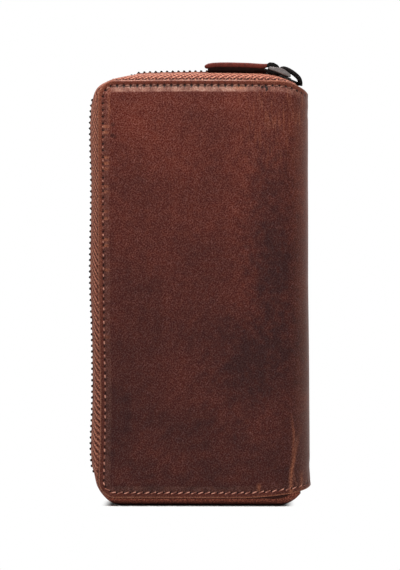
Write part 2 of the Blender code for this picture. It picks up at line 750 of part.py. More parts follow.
def build_link(name, length, near_half, far_half, wire, finish_material, parent):
    """A pull link: a bar bent into a tapered ring, along -X from its pivot."""
    bend = 1.8 * wire
    half = [(0.0, 0.0), (0.0, near_half - 0.5 * bend), (0.3 * bend, near_half + 0.2 * bend)]
    half += [(bend, near_half + 0.5 * bend), (length - bend, far_half)]
    half += [(length - 0.3 * bend, far_half - 0.3 * bend), (length, far_half - bend)]
    half += [(length, 0.0)]
    path = [Vector((-along, across, 0.0)) for along, across in half]
    path += [Vector((-along, -across, 0.0)) for along, across in reversed(half[1:-1])]
    rings = []
    for index, place in enumerate(path):
        ahead = (path[(index + 1) % len(path)] - path[index - 1]).normalized()
        out = ahead.cross(Vector((0.0, 0.0, 1.0)))
        ring = []
        for step in range(8):
            turn = 2 * math.pi * (step + 0.5) / 8
            spoke = out * math.cos(turn) + Vector((0.0, 0.0, math.sin(turn)))
            ring.append(place + spoke * wire)
        rings.append(ring)
    return finish(name, loft(rings, closed=True), finish_material, parent)


def build_strap(finish_material, parent):
    """The pull strap: a strip of leather folded round the link's far bar, along -X."""
    half = 0.5 * STRAP_THICK
    slit = 0.5 * STRAP_SLIT
    hole = STRAP_LOOP - STRAP_LEATHER
    neck = 1.6 * STRAP_LOOP
    outer = [(STRAP_LENGTH, half), (neck, half)]
    outer += arc((0.0, 0.0), STRAP_LOOP, 55, 305, 8)
    outer += [(neck, -half), (STRAP_LENGTH, -half)]
    inner = [(STRAP_LENGTH, -slit), (1.3 * STRAP_LOOP, -slit)]
    inner += arc((0.0, 0.0), hole, 300, 60, 6)
    inner += [(1.3 * STRAP_LOOP, slit), (STRAP_LENGTH, slit)]
    outline = [(-along, height) for along, height in outer + inner]
    body = prism(outline, "y", -0.5 * STRAP_WIDTH, 0.5 * STRAP_WIDTH)
    return finish("pull_strap", body, finish_material, parent)


def build_coin_zip(finishes, parent, shift):
    """The small zip on the leaf's mouth, closed, with its slider at the top."""
    path = coin_chain_path()
    end = COIN_REST_Z - COIN_LOW + COIN_SLIDER.chain_end
    for half, side in (("front", -1), ("back", 1)):
        build_coin_tape(f"coin_zip_{half}_tape", side, finishes["tape"], parent, shift)
        build_chain(
            f"coin_zip_{half}_chain", side, path, CLEARANCE, end, COIN_TEETH,
            finishes["metal"], parent, shift,
        )
    place = Vector((COIN_CROWN_X, 0.0, COIN_REST_Z)) + shift
    coin_pivot = pivot("coin_slider_pivot", place, parent, -0.5 * math.pi)
    build_slider("coin_", COIN_SLIDER, 0.0, finishes["metal"], coin_pivot)
    lift = math.radians(COIN_LINK_LIFT_DEG)
    link_pivot = pivot("coin_link_pivot", (0.0, 0.0, COIN_SLIDER.pivot_height), coin_pivot, lift)
    near_half = 0.5 * COIN_CROWN_WIDTH + CLEARANCE + COIN_LINK_WIRE
    build_link(
        "coin_pull", COIN_LINK_LENGTH, near_half, COIN_LINK_HALF, COIN_LINK_WIRE,
        finishes["metal"], link_pivot,
    )


def main():
    clear_scene()
    finishes = {
        "cover": material("waxed_leather", (0.105, 0.028, 0.016), 0.55),
        "pocket": material("pocket_leather", (0.13, 0.04, 0.02), 0.6),
        "strap": material("strap_leather", (0.14, 0.035, 0.02), 0.55),
        "board": material("stiffening_board", (0.3, 0.25, 0.18), 0.9),
        "lining": material("lining_cloth", (0.05, 0.025, 0.018), 0.85),
        "tape": material("woven_tape", (0.2, 0.06, 0.035), 0.9),
        "metal": material("dark_nickel", (0.09, 0.09, 0.1), 0.3, 1.0),
    }
    front_axis = Vector((FOLD_X, -HALF_DEPTH, 0.0))
    spine_axis = Vector((FOLD_X, HALF_DEPTH, 0.0))
    spine_pivot = pivot("spine_pivot", spine_axis)
    front_pivot = pivot("front_pivot", front_axis - spine_axis, spine_pivot)
    carriers = {"front": (-1, front_pivot, -front_axis), "back": (1, None, Vector())}

    main_path = chain_path()
    chain_start = STOP_LENGTH + 2 * CLEARANCE
    chain_end = rest_distance(main_path) + MAIN_SLIDER.chain_end
    for half, (side, parent, shift) in carriers.items():
        build_cover(half + "_cover", side, finishes["cover"], parent, shift)
        build_layers(half, side, finishes, parent, shift)
        build_tape(half + "_zip_tape", side, finishes["tape"], parent, shift)
        build_chain(
            half + "_zip_chain", side, main_path, chain_start, chain_end, MAIN_TEETH,
            finishes["metal"], parent, shift, chain_sink,
        )
    build_end_stop("zip_end_stop", finishes["metal"])

    build_spine("spine_cover", finishes["cover"], spine_pivot, -spine_axis)
    build_spine_lining("spine_lining", finishes["lining"], spine_pivot, -spine_axis)
    build_leaf(finishes, spine_pivot, -spine_axis)
    ends = (("top", 1), ("bottom", -1))
    for place, end in ends:
        leather = finishes["pocket"]
        build_gusset(f"front_{place}_gusset", -1, end, leather, spine_pivot, -spine_axis)
        build_gusset(f"back_{place}_gusset", 1, end, leather, None, Vector())

    build_coin_zip(finishes, spine_pivot, -spine_axis)

    slider_pivot = pivot("slider_pivot", (0.0, 0.0, TOP_CENTRE_Z), turn=SLIDER_REST)
    build_slider("", MAIN_SLIDER, ZIP_TOP_RADIUS, finishes["metal"], slider_pivot)
    link_turn = LINK_REST - SLIDER_REST
    link_place = (LINK_PIVOT, 0.0, LINK_PIVOT_HEIGHT)
    link_pivot = pivot("link_pivot", link_place, slider_pivot, link_turn)
    near_half = 0.5 * CROWN_WIDTH + CLEARANCE + LINK_WIRE
    far_half = 0.5 * STRAP_WIDTH + CLEARANCE + LINK_WIRE
    build_link(
        "pull_link", LINK_LENGTH, near_half, far_half, LINK_WIRE, finishes["metal"], link_pivot
    )
    strap_pivot = pivot("strap_pivot", (-LINK_LENGTH, 0.0, 0.0), link_pivot, -LINK_REST)
    build_strap(finishes["strap"], strap_pivot)


main()
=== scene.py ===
"""A long zip-around wallet in waxed leather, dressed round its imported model.

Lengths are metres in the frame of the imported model: +Z runs up the wallet, the front panel faces
-Y, the spine is at +X and the zip opens at -X. The floor is at Z 0.
"""
from __future__ import annotations

import json
import logging
import math
from dataclasses import dataclass
from enum import Enum
from functools import cached_property, partial
from typing import Callable, Iterable, Sequence

import bmesh
import bpy
import numpy as np
from bpy.types import Material, Node, NodeSocket, NodeTree, Object
from mathutils import Matrix, Vector
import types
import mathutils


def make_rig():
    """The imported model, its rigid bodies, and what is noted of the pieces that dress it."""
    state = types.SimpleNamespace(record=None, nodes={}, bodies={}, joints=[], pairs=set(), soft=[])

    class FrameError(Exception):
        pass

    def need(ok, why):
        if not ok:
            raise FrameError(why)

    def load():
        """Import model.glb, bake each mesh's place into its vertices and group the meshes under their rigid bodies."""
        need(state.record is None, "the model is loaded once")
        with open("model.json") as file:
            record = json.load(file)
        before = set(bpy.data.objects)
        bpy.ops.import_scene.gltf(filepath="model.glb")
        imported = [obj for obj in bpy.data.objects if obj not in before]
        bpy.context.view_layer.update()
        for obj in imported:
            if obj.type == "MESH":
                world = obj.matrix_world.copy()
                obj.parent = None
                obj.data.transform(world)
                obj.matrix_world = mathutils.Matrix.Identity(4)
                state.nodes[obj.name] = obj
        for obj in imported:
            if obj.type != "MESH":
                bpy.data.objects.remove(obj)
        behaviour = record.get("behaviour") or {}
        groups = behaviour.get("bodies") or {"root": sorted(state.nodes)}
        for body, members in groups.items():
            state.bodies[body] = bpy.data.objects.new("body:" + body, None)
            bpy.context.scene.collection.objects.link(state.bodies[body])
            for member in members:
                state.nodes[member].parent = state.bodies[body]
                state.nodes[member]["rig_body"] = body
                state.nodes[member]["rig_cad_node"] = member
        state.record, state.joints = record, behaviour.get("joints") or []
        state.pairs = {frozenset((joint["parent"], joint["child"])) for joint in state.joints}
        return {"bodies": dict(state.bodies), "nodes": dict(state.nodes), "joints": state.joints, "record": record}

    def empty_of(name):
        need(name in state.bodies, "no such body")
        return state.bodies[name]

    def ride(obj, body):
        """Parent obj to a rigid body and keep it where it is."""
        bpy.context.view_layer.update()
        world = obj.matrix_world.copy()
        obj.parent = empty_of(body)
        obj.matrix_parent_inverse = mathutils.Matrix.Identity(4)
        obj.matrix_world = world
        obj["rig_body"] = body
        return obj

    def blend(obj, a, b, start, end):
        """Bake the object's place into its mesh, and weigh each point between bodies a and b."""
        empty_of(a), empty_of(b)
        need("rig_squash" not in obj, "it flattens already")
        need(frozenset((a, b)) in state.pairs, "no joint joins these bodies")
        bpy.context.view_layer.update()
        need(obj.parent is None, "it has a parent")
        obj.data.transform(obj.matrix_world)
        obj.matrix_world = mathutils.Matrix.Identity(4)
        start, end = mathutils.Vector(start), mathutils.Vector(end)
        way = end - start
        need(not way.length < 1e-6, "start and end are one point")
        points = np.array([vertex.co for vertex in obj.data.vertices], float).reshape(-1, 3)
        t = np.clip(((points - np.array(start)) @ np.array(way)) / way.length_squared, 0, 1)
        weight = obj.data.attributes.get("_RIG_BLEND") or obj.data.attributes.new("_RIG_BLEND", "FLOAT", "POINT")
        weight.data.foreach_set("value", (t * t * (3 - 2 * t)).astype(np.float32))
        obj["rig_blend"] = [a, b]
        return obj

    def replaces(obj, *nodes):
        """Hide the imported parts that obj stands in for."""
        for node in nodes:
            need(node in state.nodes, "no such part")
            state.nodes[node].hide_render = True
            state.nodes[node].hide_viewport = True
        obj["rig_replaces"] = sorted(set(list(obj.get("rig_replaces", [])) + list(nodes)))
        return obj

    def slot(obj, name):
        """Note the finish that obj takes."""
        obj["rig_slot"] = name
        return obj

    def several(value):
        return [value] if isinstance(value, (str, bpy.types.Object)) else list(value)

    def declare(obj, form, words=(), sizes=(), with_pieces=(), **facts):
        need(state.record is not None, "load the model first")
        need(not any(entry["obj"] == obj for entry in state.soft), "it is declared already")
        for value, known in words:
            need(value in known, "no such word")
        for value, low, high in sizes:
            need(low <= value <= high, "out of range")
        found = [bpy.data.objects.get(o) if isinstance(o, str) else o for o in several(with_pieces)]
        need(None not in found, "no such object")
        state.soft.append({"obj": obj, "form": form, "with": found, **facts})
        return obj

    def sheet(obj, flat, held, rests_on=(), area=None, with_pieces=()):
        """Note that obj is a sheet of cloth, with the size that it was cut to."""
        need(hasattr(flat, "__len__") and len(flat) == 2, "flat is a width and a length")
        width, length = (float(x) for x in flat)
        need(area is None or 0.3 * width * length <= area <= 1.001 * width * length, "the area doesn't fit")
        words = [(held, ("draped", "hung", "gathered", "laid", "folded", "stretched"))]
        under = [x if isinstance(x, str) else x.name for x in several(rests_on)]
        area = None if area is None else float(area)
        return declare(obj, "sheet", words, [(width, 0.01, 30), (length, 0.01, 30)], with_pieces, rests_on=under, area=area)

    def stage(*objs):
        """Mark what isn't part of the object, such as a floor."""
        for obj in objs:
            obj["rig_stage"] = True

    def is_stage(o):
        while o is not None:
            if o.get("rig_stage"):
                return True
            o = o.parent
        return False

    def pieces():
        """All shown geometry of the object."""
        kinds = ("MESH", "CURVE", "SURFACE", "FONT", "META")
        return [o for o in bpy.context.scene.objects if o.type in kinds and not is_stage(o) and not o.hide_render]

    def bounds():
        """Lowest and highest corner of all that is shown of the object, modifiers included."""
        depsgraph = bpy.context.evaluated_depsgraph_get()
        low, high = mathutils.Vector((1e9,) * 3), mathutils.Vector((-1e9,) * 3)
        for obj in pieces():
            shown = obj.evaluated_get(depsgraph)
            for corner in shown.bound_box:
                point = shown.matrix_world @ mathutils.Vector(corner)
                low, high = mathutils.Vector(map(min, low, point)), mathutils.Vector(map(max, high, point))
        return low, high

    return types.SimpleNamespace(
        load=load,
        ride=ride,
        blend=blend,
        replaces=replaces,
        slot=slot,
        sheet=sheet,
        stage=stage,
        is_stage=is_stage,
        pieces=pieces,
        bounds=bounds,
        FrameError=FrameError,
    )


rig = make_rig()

LOG = logging.getLogger("wallet")
MM = 0.001
SHARP = math.radians(35.0)  # edges that turn by more get a bevel
SEAM_PITCH = 3.05  # mm from hole to hole
SEAM_INSET = 2.3  # mm from the leather's edge
TOP_DROP = 0.3  # mm that the top seam lies lower
HIDE_STEP = 0.4  # m from the front to the back on the flat hide
STAND = Matrix(((1, 0, 0, 0), (0, 0, 1, 0), (0, 1, 0, 0), (0, 0, 0, 1)))  # swaps Y and Z
Flat = tuple[float, float]
Row = tuple[float, ...]
Values = np.ndarray | float
Colour = tuple[float, float, float, float]
Inputs = dict[str | int, object] | Sequence[object]
Add = Callable[..., NodeSocket]


class Half(Enum):
    """The two halves of the wallet; the value is the sign of Y."""

    FRONT = -1
    BACK = 1

    @property
    def word(self) -> str:
        """The half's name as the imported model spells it."""
        return self.name.lower()


class Slot(Enum):
    """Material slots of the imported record."""

    COVER = "cover_leather"
    POCKET = "pocket_leather"
    STRAP = "strap_leather"
    BOARD = "board"
    LINING = "lining"
    TAPE = "zip_tape"
    METAL = "zip_metal"


def linear(code: str) -> Colour:
    """Turns an sRGB hex colour into linear light.

    Args:
        code: six hex digits.

    Returns:
        Linear red, green, blue and an alpha of one.
    """
    parts = [int(code[index:index + 2], 16) / 255.0 for index in (0, 2, 4)]
    light = [part / 12.92 if part <= 0.04045 else ((part + 0.055) / 1.055) ** 2.4 for part in parts]
    return (light[0], light[1], light[2], 1.0)


def metres(points: Iterable[Flat]) -> list[Flat]:
    """Turns millimetres into metres."""
    return [(x * MM, y * MM) for x, y in points]


def wire(target: Node, inputs: Inputs) -> None:
    """Fills or links the inputs of a node.

    Args:
        target: the node.
        inputs: a value or an output socket for each input, in order or by name.
    """
    for key, value in inputs.items() if isinstance(inputs, dict) else enumerate(inputs):
        if isinstance(value, NodeSocket):
            target.id_data.links.new(value, target.inputs[key])
        else:
            target.inputs[key].default_value = value


def node(
    tree: NodeTree, kind: str, inputs: Inputs = (), out: str | int = 0,
    stops: Sequence[tuple[float, str | float]] = (), **settings: object,
) -> NodeSocket:
    """Adds a shader node, sets it up and fills or links its inputs.

    Args:
        tree: the tree that gets the node.
        kind: the node's type, after ShaderNode, and its operation if it has one.
        inputs: a value or an output socket for each input, in order or by name.
        out: the output that is wanted.
        stops: places of a colour ramp, each with a hex colour or a grey.
        settings: properties of the node.

    Returns:
        The output.
    """
    word, *operation = kind.split()
    made = tree.nodes.new(f"ShaderNode{word}")
    if operation:
        made.operation = operation[0]
    for name, value in settings.items():
        setattr(made, name, value)
    wire(made, inputs)
    if stops:
        ramp = made.color_ramp.elements
        while len(ramp) < len(stops):
            ramp.new(1.0)
        for element, (place, tone) in zip(ramp, stops):
            element.position = place
            element.color = linear(tone) if isinstance(tone, str) else (tone, tone, tone, 1.0)
    return made.outputs[out]


def blank(name: str) -> tuple[Material, Node, Add]:
    """Starts a material.

    Args:
        name: what the material really is.

    Returns:
        The material, its Principled shader and what adds a node to it.
    """
    made = bpy.data.materials.new(name)
    made.use_nodes = True
    tree = made.node_tree
    return made, tree.nodes["Principled BSDF"], partial(node, tree)


def only(piece: Object) -> None:
    """Makes one piece the active and only selected one.

    Args:
        piece: the piece.
    """
    bpy.ops.object.select_all(action="DESELECT")
    piece.select_set(True)
    bpy.context.view_layer.objects.active = piece


class Edit:
    """A piece in edit mode, whose parts are picked by where they are."""

    def __init__(self, piece: Object) -> None:
        """Takes the piece to edit."""
        self.piece = piece

    def __enter__(self) -> "Edit":
        """Opens edit mode with nothing picked.

        Returns:
            This edit.
        """
        only(self.piece)
        bpy.ops.object.mode_set(mode="EDIT")
        bpy.ops.mesh.select_all(action="DESELECT")
        return self

    def __exit__(self, *_: object) -> None:
        """Closes edit mode."""
        bpy.ops.object.mode_set(mode="OBJECT")

    def pick(self, kind: str, test: Callable[[bmesh.types.BMFace | bmesh.types.BMEdge], bool]) -> None:
        """Picks the parts that pass a test, and nothing else.

        Args:
            kind: FACE or EDGE.
            test: whether a part is picked.
        """
        bpy.ops.mesh.select_mode(type=kind)
        bpy.ops.mesh.select_all(action="DESELECT")
        body = bmesh.from_edit_mesh(self.piece.data)
        for part in body.faces if kind == "FACE" else body.edges:
            part.select_set(test(part))
        bmesh.update_edit_mesh(self.piece.data)


def hang(name: str, data: bpy.types.ID) -> Object:
    """Puts a mesh, a light or a camera into the scene.

    Args:
        name: name of the new object.
        data: what it shows.

    Returns:
        The new object.
    """
    made = bpy.data.objects.new(name, data)
    bpy.context.scene.collection.objects.link(made)
    return made


def smooth(piece: Object, degrees: float = 40.0) -> Object:
    """Shades a piece smooth except over sharp edges.

    Args:
        piece: the piece.
        degrees: edges that turn by more stay sharp.

    Returns:
        The same piece.
    """
    only(piece)
    bpy.ops.object.shade_smooth_by_angle(angle=math.radians(degrees))
    return piece


def skin(
    name: str, points: Iterable[Sequence[float]], faces: Iterable[Sequence[int]],
    materials: Sequence[Material], degrees: float = 40.0,
) -> Object:
    """Makes a closed piece from points and faces, with its faces turned outwards.

    Args:
        name: name of the piece.
        points: places in the frame.
        faces: indices of each face's points.
        materials: its materials.
        degrees: edges that turn by more stay sharp.

    Returns:
        The new piece.
    """
    mesh = bpy.data.meshes.new(name)
    mesh.from_pydata([tuple(point) for point in points], [], [list(face) for face in faces])
    body = bmesh.new()
    body.from_mesh(mesh)
    bmesh.ops.recalc_face_normals(body, faces=body.faces)
    body.to_mesh(mesh)
    body.free()
    for material in materials:
        mesh.materials.append(material)
    return smooth(hang(name, mesh), degrees)


def tube(rings: int, count: int) -> list[list[int]]:
    """Faces of a closed tube.

    Args:
        rings: how many rings of points it has.
        count: points in each ring.

    Returns:
        Its sides, ring by ring, and its two ends.
    """
    sides = [
        [r * count + i, r * count + (i + 1) % count, (r + 1) * count + (i + 1) % count, (r + 1) * count + i]
        for r in range(rings - 1) for i in range(count)
    ]
    return sides + [list(range(count)), list(range((rings - 1) * count, rings * count))]


def lay_flat(piece: Object, places: Sequence[Flat] | np.ndarray) -> None:
    """Writes where each point lies on the flat stuff, as the piece's UV map.

    Args:
        piece: the piece.
        places: flat place of each point.
    """
    mesh = piece.data
    corners = np.empty(len(mesh.loops), dtype=np.int32)
    mesh.loops.foreach_get("vertex_index", corners)
    layer = mesh.uv_layers.new(name="sheet")
    layer.data.foreach_set("uv", np.asarray(places, dtype=np.float32)[corners].ravel())


def plate(
    name: str, outline: Sequence[Flat], low: float, high: float, material: Material,
    bevel: float = 0.0, segments: int = 2,
) -> Object:
    """Cuts a flat outline, pulls it up to a thickness and rounds its edges.

    Args:
        name: name of the piece.
        outline: corners in the piece's own X and Y.
        low: height of its lower face.
        high: height of its upper face.
        material: its material.
        bevel: rounding of its edges.
        segments: steps in the rounding.

    Returns:
        The new piece, still in its own flat frame.
    """
    mesh = bpy.data.meshes.new(name)
    mesh.from_pydata([(x, y, low) for x, y in outline], [], [range(len(outline))])
    mesh.materials.append(material)
    piece = hang(name, mesh)
    with Edit(piece) as edit:
        bpy.ops.mesh.select_all(action="SELECT")
        bpy.ops.mesh.normals_make_consistent(inside=False)
        bpy.ops.mesh.extrude_region_move(TRANSFORM_OT_translate={"value": (0.0, 0.0, high - low)})
        bpy.ops.mesh.select_all(action="SELECT")
        bpy.ops.mesh.normals_make_consistent(inside=False)
        if bevel:
            edit.pick("EDGE", lambda edge: len(edge.link_faces) == 2 and edge.calc_face_angle(0.0) > SHARP)
            bpy.ops.mesh.bevel(offset=bevel, segments=segments, affect="EDGES")
    return smooth(piece)


def settle(piece: Object, matrix: Matrix) -> Object:
    """Moves a piece's mesh to its place and leaves the object at the origin.

    Args:
        piece: the piece.
        matrix: from the piece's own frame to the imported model's.

    Returns:
        The same piece.
    """
    piece.data.transform(matrix)
    if matrix.determinant() < 0.0:
        piece.data.flip_normals()
    piece.data.update()
    return piece


def join(pieces: Sequence[Object], name: str) -> Object:
    """Joins pieces into one.

    Args:
        pieces: the pieces, the first of which stays.
        name: name of the joined piece.

    Returns:
        The joined piece.
    """
    only(pieces[0])
    for piece in pieces[1:]:
        piece.select_set(True)
    bpy.ops.object.join()
    pieces[0].name = name
    pieces[0].data.name = name
    return pieces[0]


def dash(sides: int, radius: float, long: float, cap: Flat, cuts: int = 0) -> Object:
    """Models one straight stitch along X.

    Args:
        sides: of its section.
        radius: of the thread.
        long: its length without the caps.
        cap: how far its ends are drawn in and out.
        cuts: how often its edges are divided.

    Returns:
        The stitch.
    """
    bpy.ops.object.select_all(action="DESELECT")
    bpy.ops.mesh.primitive_cylinder_add(vertices=sides, radius=radius, depth=long)
    model = bpy.context.active_object
    with Edit(model) as edit:
        edit.pick("FACE", lambda face: len(face.verts) > 4)
        bpy.ops.mesh.inset(thickness=cap[0], depth=cap[1])
        bpy.ops.mesh.select_all(action="SELECT")
        if cuts:
            bpy.ops.mesh.subdivide(number_cuts=cuts)
        bpy.ops.transform.rotate(value=math.radians(90), orient_axis="Y", center_override=(0.0, 0.0, 0.0))
    return model


def copies(name: str, model: Object, places: Sequence[Matrix], materials: Sequence[Material]) -> Object:
    """Sets one model at many places, each with its own points, as one piece, and removes the model.

    Args:
        name: name of the piece.
        model: the shape that repeats.
        places: a matrix for each place.
        materials: materials of the piece.

    Returns:
        The new piece.
    """
    source = model.data
    base = np.array([vert.co for vert in source.vertices])
    faces = [list(face.vertices) for face in source.polygons]
    points: list[np.ndarray] = []
    all_faces: list[list[int]] = []
    for matrix in places:
        start = len(points) * len(base)
        turn = np.array(matrix.to_3x3())
        points.append(base @ turn.T + np.array(matrix.translation))
        all_faces += [[start + index for index in face] for face in faces]
    bpy.data.objects.remove(model, do_unlink=True)
    return skin(name, np.concatenate(points), all_faces, materials, 50.0)


def frame_at(place: Vector, along: Vector, out: Vector) -> Matrix:
    """A matrix whose X runs along, whose Z points out and whose origin is at a place.

    Args:
        place: its origin.
        along: direction of X.
        out: direction of Z, made square to X.

    Returns:
        The matrix.
    """
    first = along.normalized()
    third = (out - first * out.dot(first)).normalized()
    second = third.cross(first)
    matrix = Matrix((first, second, third)).transposed().to_4x4()
    matrix.translation = place
    return matrix


def arc(centre: Flat, radius: float, start: float, end: float, steps: int) -> list[Flat]:
    """Points on an arc in degrees, both ends included."""
    turns = np.radians(np.linspace(start, end, steps + 1))
    return [(centre[0] + radius * math.cos(t), centre[1] + radius * math.sin(t)) for t in turns]


def rounded(half_out: float, half_across: float, radius: float, steps: int = 3) -> list[Flat]:
    """A rectangle with rounded corners about the origin.

    Args:
        half_out: half of its first side.
        half_across: half of its second side.
        radius: of the corners.
        steps: in each corner.

    Returns:
        Its points in order.
    """
    points: list[Flat] = []
    for turn, (a, b) in zip((0, 90, 180, 270), ((1, 1), (-1, 1), (-1, -1), (1, -1))):
        centre = (a * (half_out - radius), b * (half_across - radius))
        points += arc(centre, radius, turn, turn + 90, steps)
    return points


def flow(stops: Sequence[Flat], steps: int) -> list[Flat]:
    """A smooth line through a few points.

    Args:
        stops: the points that it passes.
        steps: between each two of them.

    Returns:
        Points on the line.
    """
    ends = [stops[0], *stops, stops[-1]]
    line: list[Flat] = []
    for a, b, c, d in zip(ends, ends[1:], ends[2:], ends[3:]):
        for t in np.arange(steps) / steps:
            line.append(tuple(
                0.5 * (2 * b[k] + (c[k] - a[k]) * t + (2 * a[k] - 5 * b[k] + 4 * c[k] - d[k]) * t * t
                       + (3 * b[k] - a[k] - 3 * c[k] + d[k]) * t ** 3) for k in (0, 1)
            ))
    return line + [tuple(stops[-1])]


def lengths(line: Sequence[Flat] | np.ndarray) -> np.ndarray:
    """Distance along a line at each of its points."""
    return np.concatenate([[0.0], np.cumsum(np.hypot(*np.diff(np.array(line), axis=0).T))])


def even(line: Sequence[Flat], count: int) -> list[Flat]:
    """Points at even steps along a line, without its first one."""
    at = np.linspace(0.0, lengths(line)[-1], count + 1)[1:]
    return list(zip(*(np.interp(at, lengths(line), column) for column in np.array(line).T)))


def sweep(
    name: str, path: Sequence[Flat], section: Sequence[Flat], material: Material,
    scales: Sequence[Flat] | None = None,
) -> Object:
    """Draws a section along a path in X and Z.

    Args:
        name: name of the piece.
        path: points in X and Z.
        section: points out from the path and across it, along Y.
        material: its material.
        scales: of both directions of the section at each point of the path.

    Returns:
        The closed piece.
    """
    rows = []
    for index, spot in enumerate(path):
        before, after = path[max(index - 1, 0)], path[min(index + 1, len(path) - 1)]
        ahead = Vector((after[0] - before[0], after[1] - before[1])).normalized()
        grow = scales[index] if scales else (1.0, 1.0)
        rows += [
            (spot[0] - ahead.y * out * grow[0], across * grow[1], spot[1] + ahead.x * out * grow[0])
            for out, across in section
        ]
    return skin(name, rows, tube(len(path), len(section)), [material])


def smoothstep(low: float, high: float, value: Values) -> Values:
    """Eases from zero at low to one at high."""
    share = np.clip((value - low) / (high - low), 0.0, 1.0)
    return share * share * (3.0 - 2.0 * share)


@dataclass(frozen=True)
class Finish:
    """A finish that is drawn with nodes."""

    name: str

    def shade(self, add: Add) -> Inputs:
        """Draws the finish.

        Args:
            add: adds a node to the material.

        Returns:
            What goes into the Principled shader.
        """
        raise NotImplementedError

    def make(self) -> Material:
        """Makes the material.

        Returns:
            The material.
        """
        made, shader, add = blank(self.name)
        wire(shader, self.shade(add))
        return made


@dataclass(frozen=True)
class WaxedLeather(Finish):
    """Waxed pull-up leather, drum dyed and hand rubbed: a dull, uneven red brown with a close diagonal
    grain, tan where an edge or a bend has been rubbed and nearly black in the needle holes."""

    name: str = "waxed_pull_up_leather"
    dark: str = "311714"
    middle: str = "4c221a"
    warm: str = "672e21"
    rubbed: str = "b08170"
    tan: str = "985a40"
    groove: str = "683122"
    hole: str = "120706"
    patch: float = 30.0 * MM
    mottle: float = 3.6 * MM
    grain: float = 0.62 * MM  # drawn about twice as coarse as the pores, to show
    slant: float = math.radians(33.0)
    hairs: Row = (math.radians(38.0), math.radians(-52.0), math.radians(8.0))  # their turns
    pores: Row = (2.9, 7.4, 10.6)  # how far the grain changes red, green and blue
    bloom: Row = (0.0, 0.35, 0.40)  # the same for the bloom of the wax
    roughness: float = 0.55
    shine: float = 0.13
    sheen: float = 0.28
    # Steps: where each starts and ends, and its value at both.
    rise: Row = (0.03, 0.18, -0.14, 0.08)  # tone by height
    scratch: Row = (0.5, 0.8, 0.0, 0.4)  # fine upright scratches, by noise
    handled_high: Row = (0.14, 0.178)  # where they lie, by height
    handled_right: Row = (0.052, 0.08)  # and across the hide
    hair_line: Row = (0.66, 0.82, 0.0, 0.16)  # by noise
    upper_rim: Row = (0.075, 0.115, 0.0, 0.9)  # by height
    lower_rim: Row = (0.009, 0.02, 1.05, 0.85)
    ridge: Row = (0.22, 0.27, 0.0, 0.6)  # by inset in cm
    ridge_end: Row = (0.5, 0.55, 1.0, 0.0)
    patchy: Row = (0.3, 0.62, 0.35, 1.0)  # by mottle
    spine_rub: Row = (0.086, 0.099, 0.0, 0.13)  # across the hide
    fray: Row = (0.36, 0.58, 0.55, 1.05)  # by grain
    groove_depth: Row = (0.0, 1.0, 0.35, 1.0)  # deeper under the top
    hole_size: Row = (0.04, 0.16, 0.72, 1.0)  # by height

    # Darker and paler places of the hide in mm: middle, reach each way, change of tone.
    spots: tuple[Row, ...] = (
        (79.0, 118.0, 13.0, 46.0, -0.36),  # handled, beside the fold
        (70.0, 62.0, 24.0, 28.0, -0.15),
        (22.0, 60.0, 16.0, 24.0, 0.07),
        (20.0, 178.0, 20.0, 12.0, 0.03),
        (58.0, 184.0, 18.0, 8.0, 0.09),
    )
    # Rubbed bends in mm: middle, reach up and down, bow, width, strength.
    creases: tuple[Row, ...] = (
        (86.5, 8.0, 27.0, 0.0076, 1.3, 0.75),
        (4.6, 184.5, 15.0, 0.0, 1.0, 0.30),  # the field's shoulder
        (87.9, 31.0, 12.0, -0.009, 0.9, 0.45),
        (87.5, 20.0, 18.0, 0.0170, 0.8, 0.30),
        (92.0, 9.0, 8.0, 0.0, 1.5, 0.45),
        (72.2, 8.4, 2.6, 0.0, 1.2, 0.60),  # a nick
        (63.5, 190.3, 1.6, 0.0, 4.0, 0.75),  # a rubbed place under the top seam
        # Scuffs where the leather puckers beside the seam.
        *((2.9, z, 0.95, 0.0, 2.2, strong) for z, strong in (
            (172.4, 0.7), (169.8, 0.6), (158.5, 0.7), (155.9, 0.8), (153.3, 0.6), (145.4, 0.4), (143.0, 0.4),
            (134.1, 0.5), (130.9, 0.6), (121.3, 0.55), (118.6, 0.7), (107.6, 0.5), (77.0, 0.35),
        )),
    )
    # Two dark thread ends at the top seam and three bruises, in mm: middle and size, and how dark.
    ends: tuple[Row, ...] = (
        (74.4, 190.2, 0.7, 1.0), (76.0, 190.3, 0.75, 1.0), (76.5, 189.8, 0.75, 1.0), (76.6, 189.2, 0.65, 1.0),
        (76.3, 188.7, 0.5, 1.0), (6.6, 168.4, 1.3, 0.6), (7.7, 167.9, 1.2, 0.45), (6.9, 173.4, 1.3, 0.45),
    )

    def tone(self, add: Add, sheet: NodeSocket, mottle: NodeSocket) -> NodeSocket:
        """How pale the dye is: broad patches and marks of use.

        Args:
            add: adds a node to the material.
            sheet: place on the flat hide.
            mottle: the coarser unevenness.

        Returns:
            A share from dark to warm.
        """
        patch = add(
            "TexNoise", {"Vector": sheet, "Scale": 1 / self.patch, "Detail": 4.0, "Roughness": 0.6},
            noise_dimensions="2D",
        )
        total = add("Math MULTIPLY_ADD", (patch, 0.5, 0.09))
        total = add("Math MULTIPLY_ADD", (mottle, 0.32, total))
        place = add("SeparateXYZ", (sheet,)).node.outputs
        height = add("MapRange", (place["Y"], *self.rise), interpolation_type="SMOOTHSTEP")
        total = add("Math ADD", (total, height))
        for s, z, wide, tall, change in self.spots:
            away = add("VectorMath SUBTRACT", (sheet, (s * MM, z * MM, 0.0)))
            away = add("VectorMath MULTIPLY", (away, (1 / (wide * MM), 1 / (tall * MM), 0.0)))
            away = add("VectorMath LENGTH", (away,), out="Value")
            away = add("Math MULTIPLY_ADD", (mottle, 0.8, away))
            spot = add("MapRange", (away, 0.2, 1.8, change, 0.0), interpolation_type="SMOOTHSTEP")
            total = add("Math ADD", (total, spot))
        return total

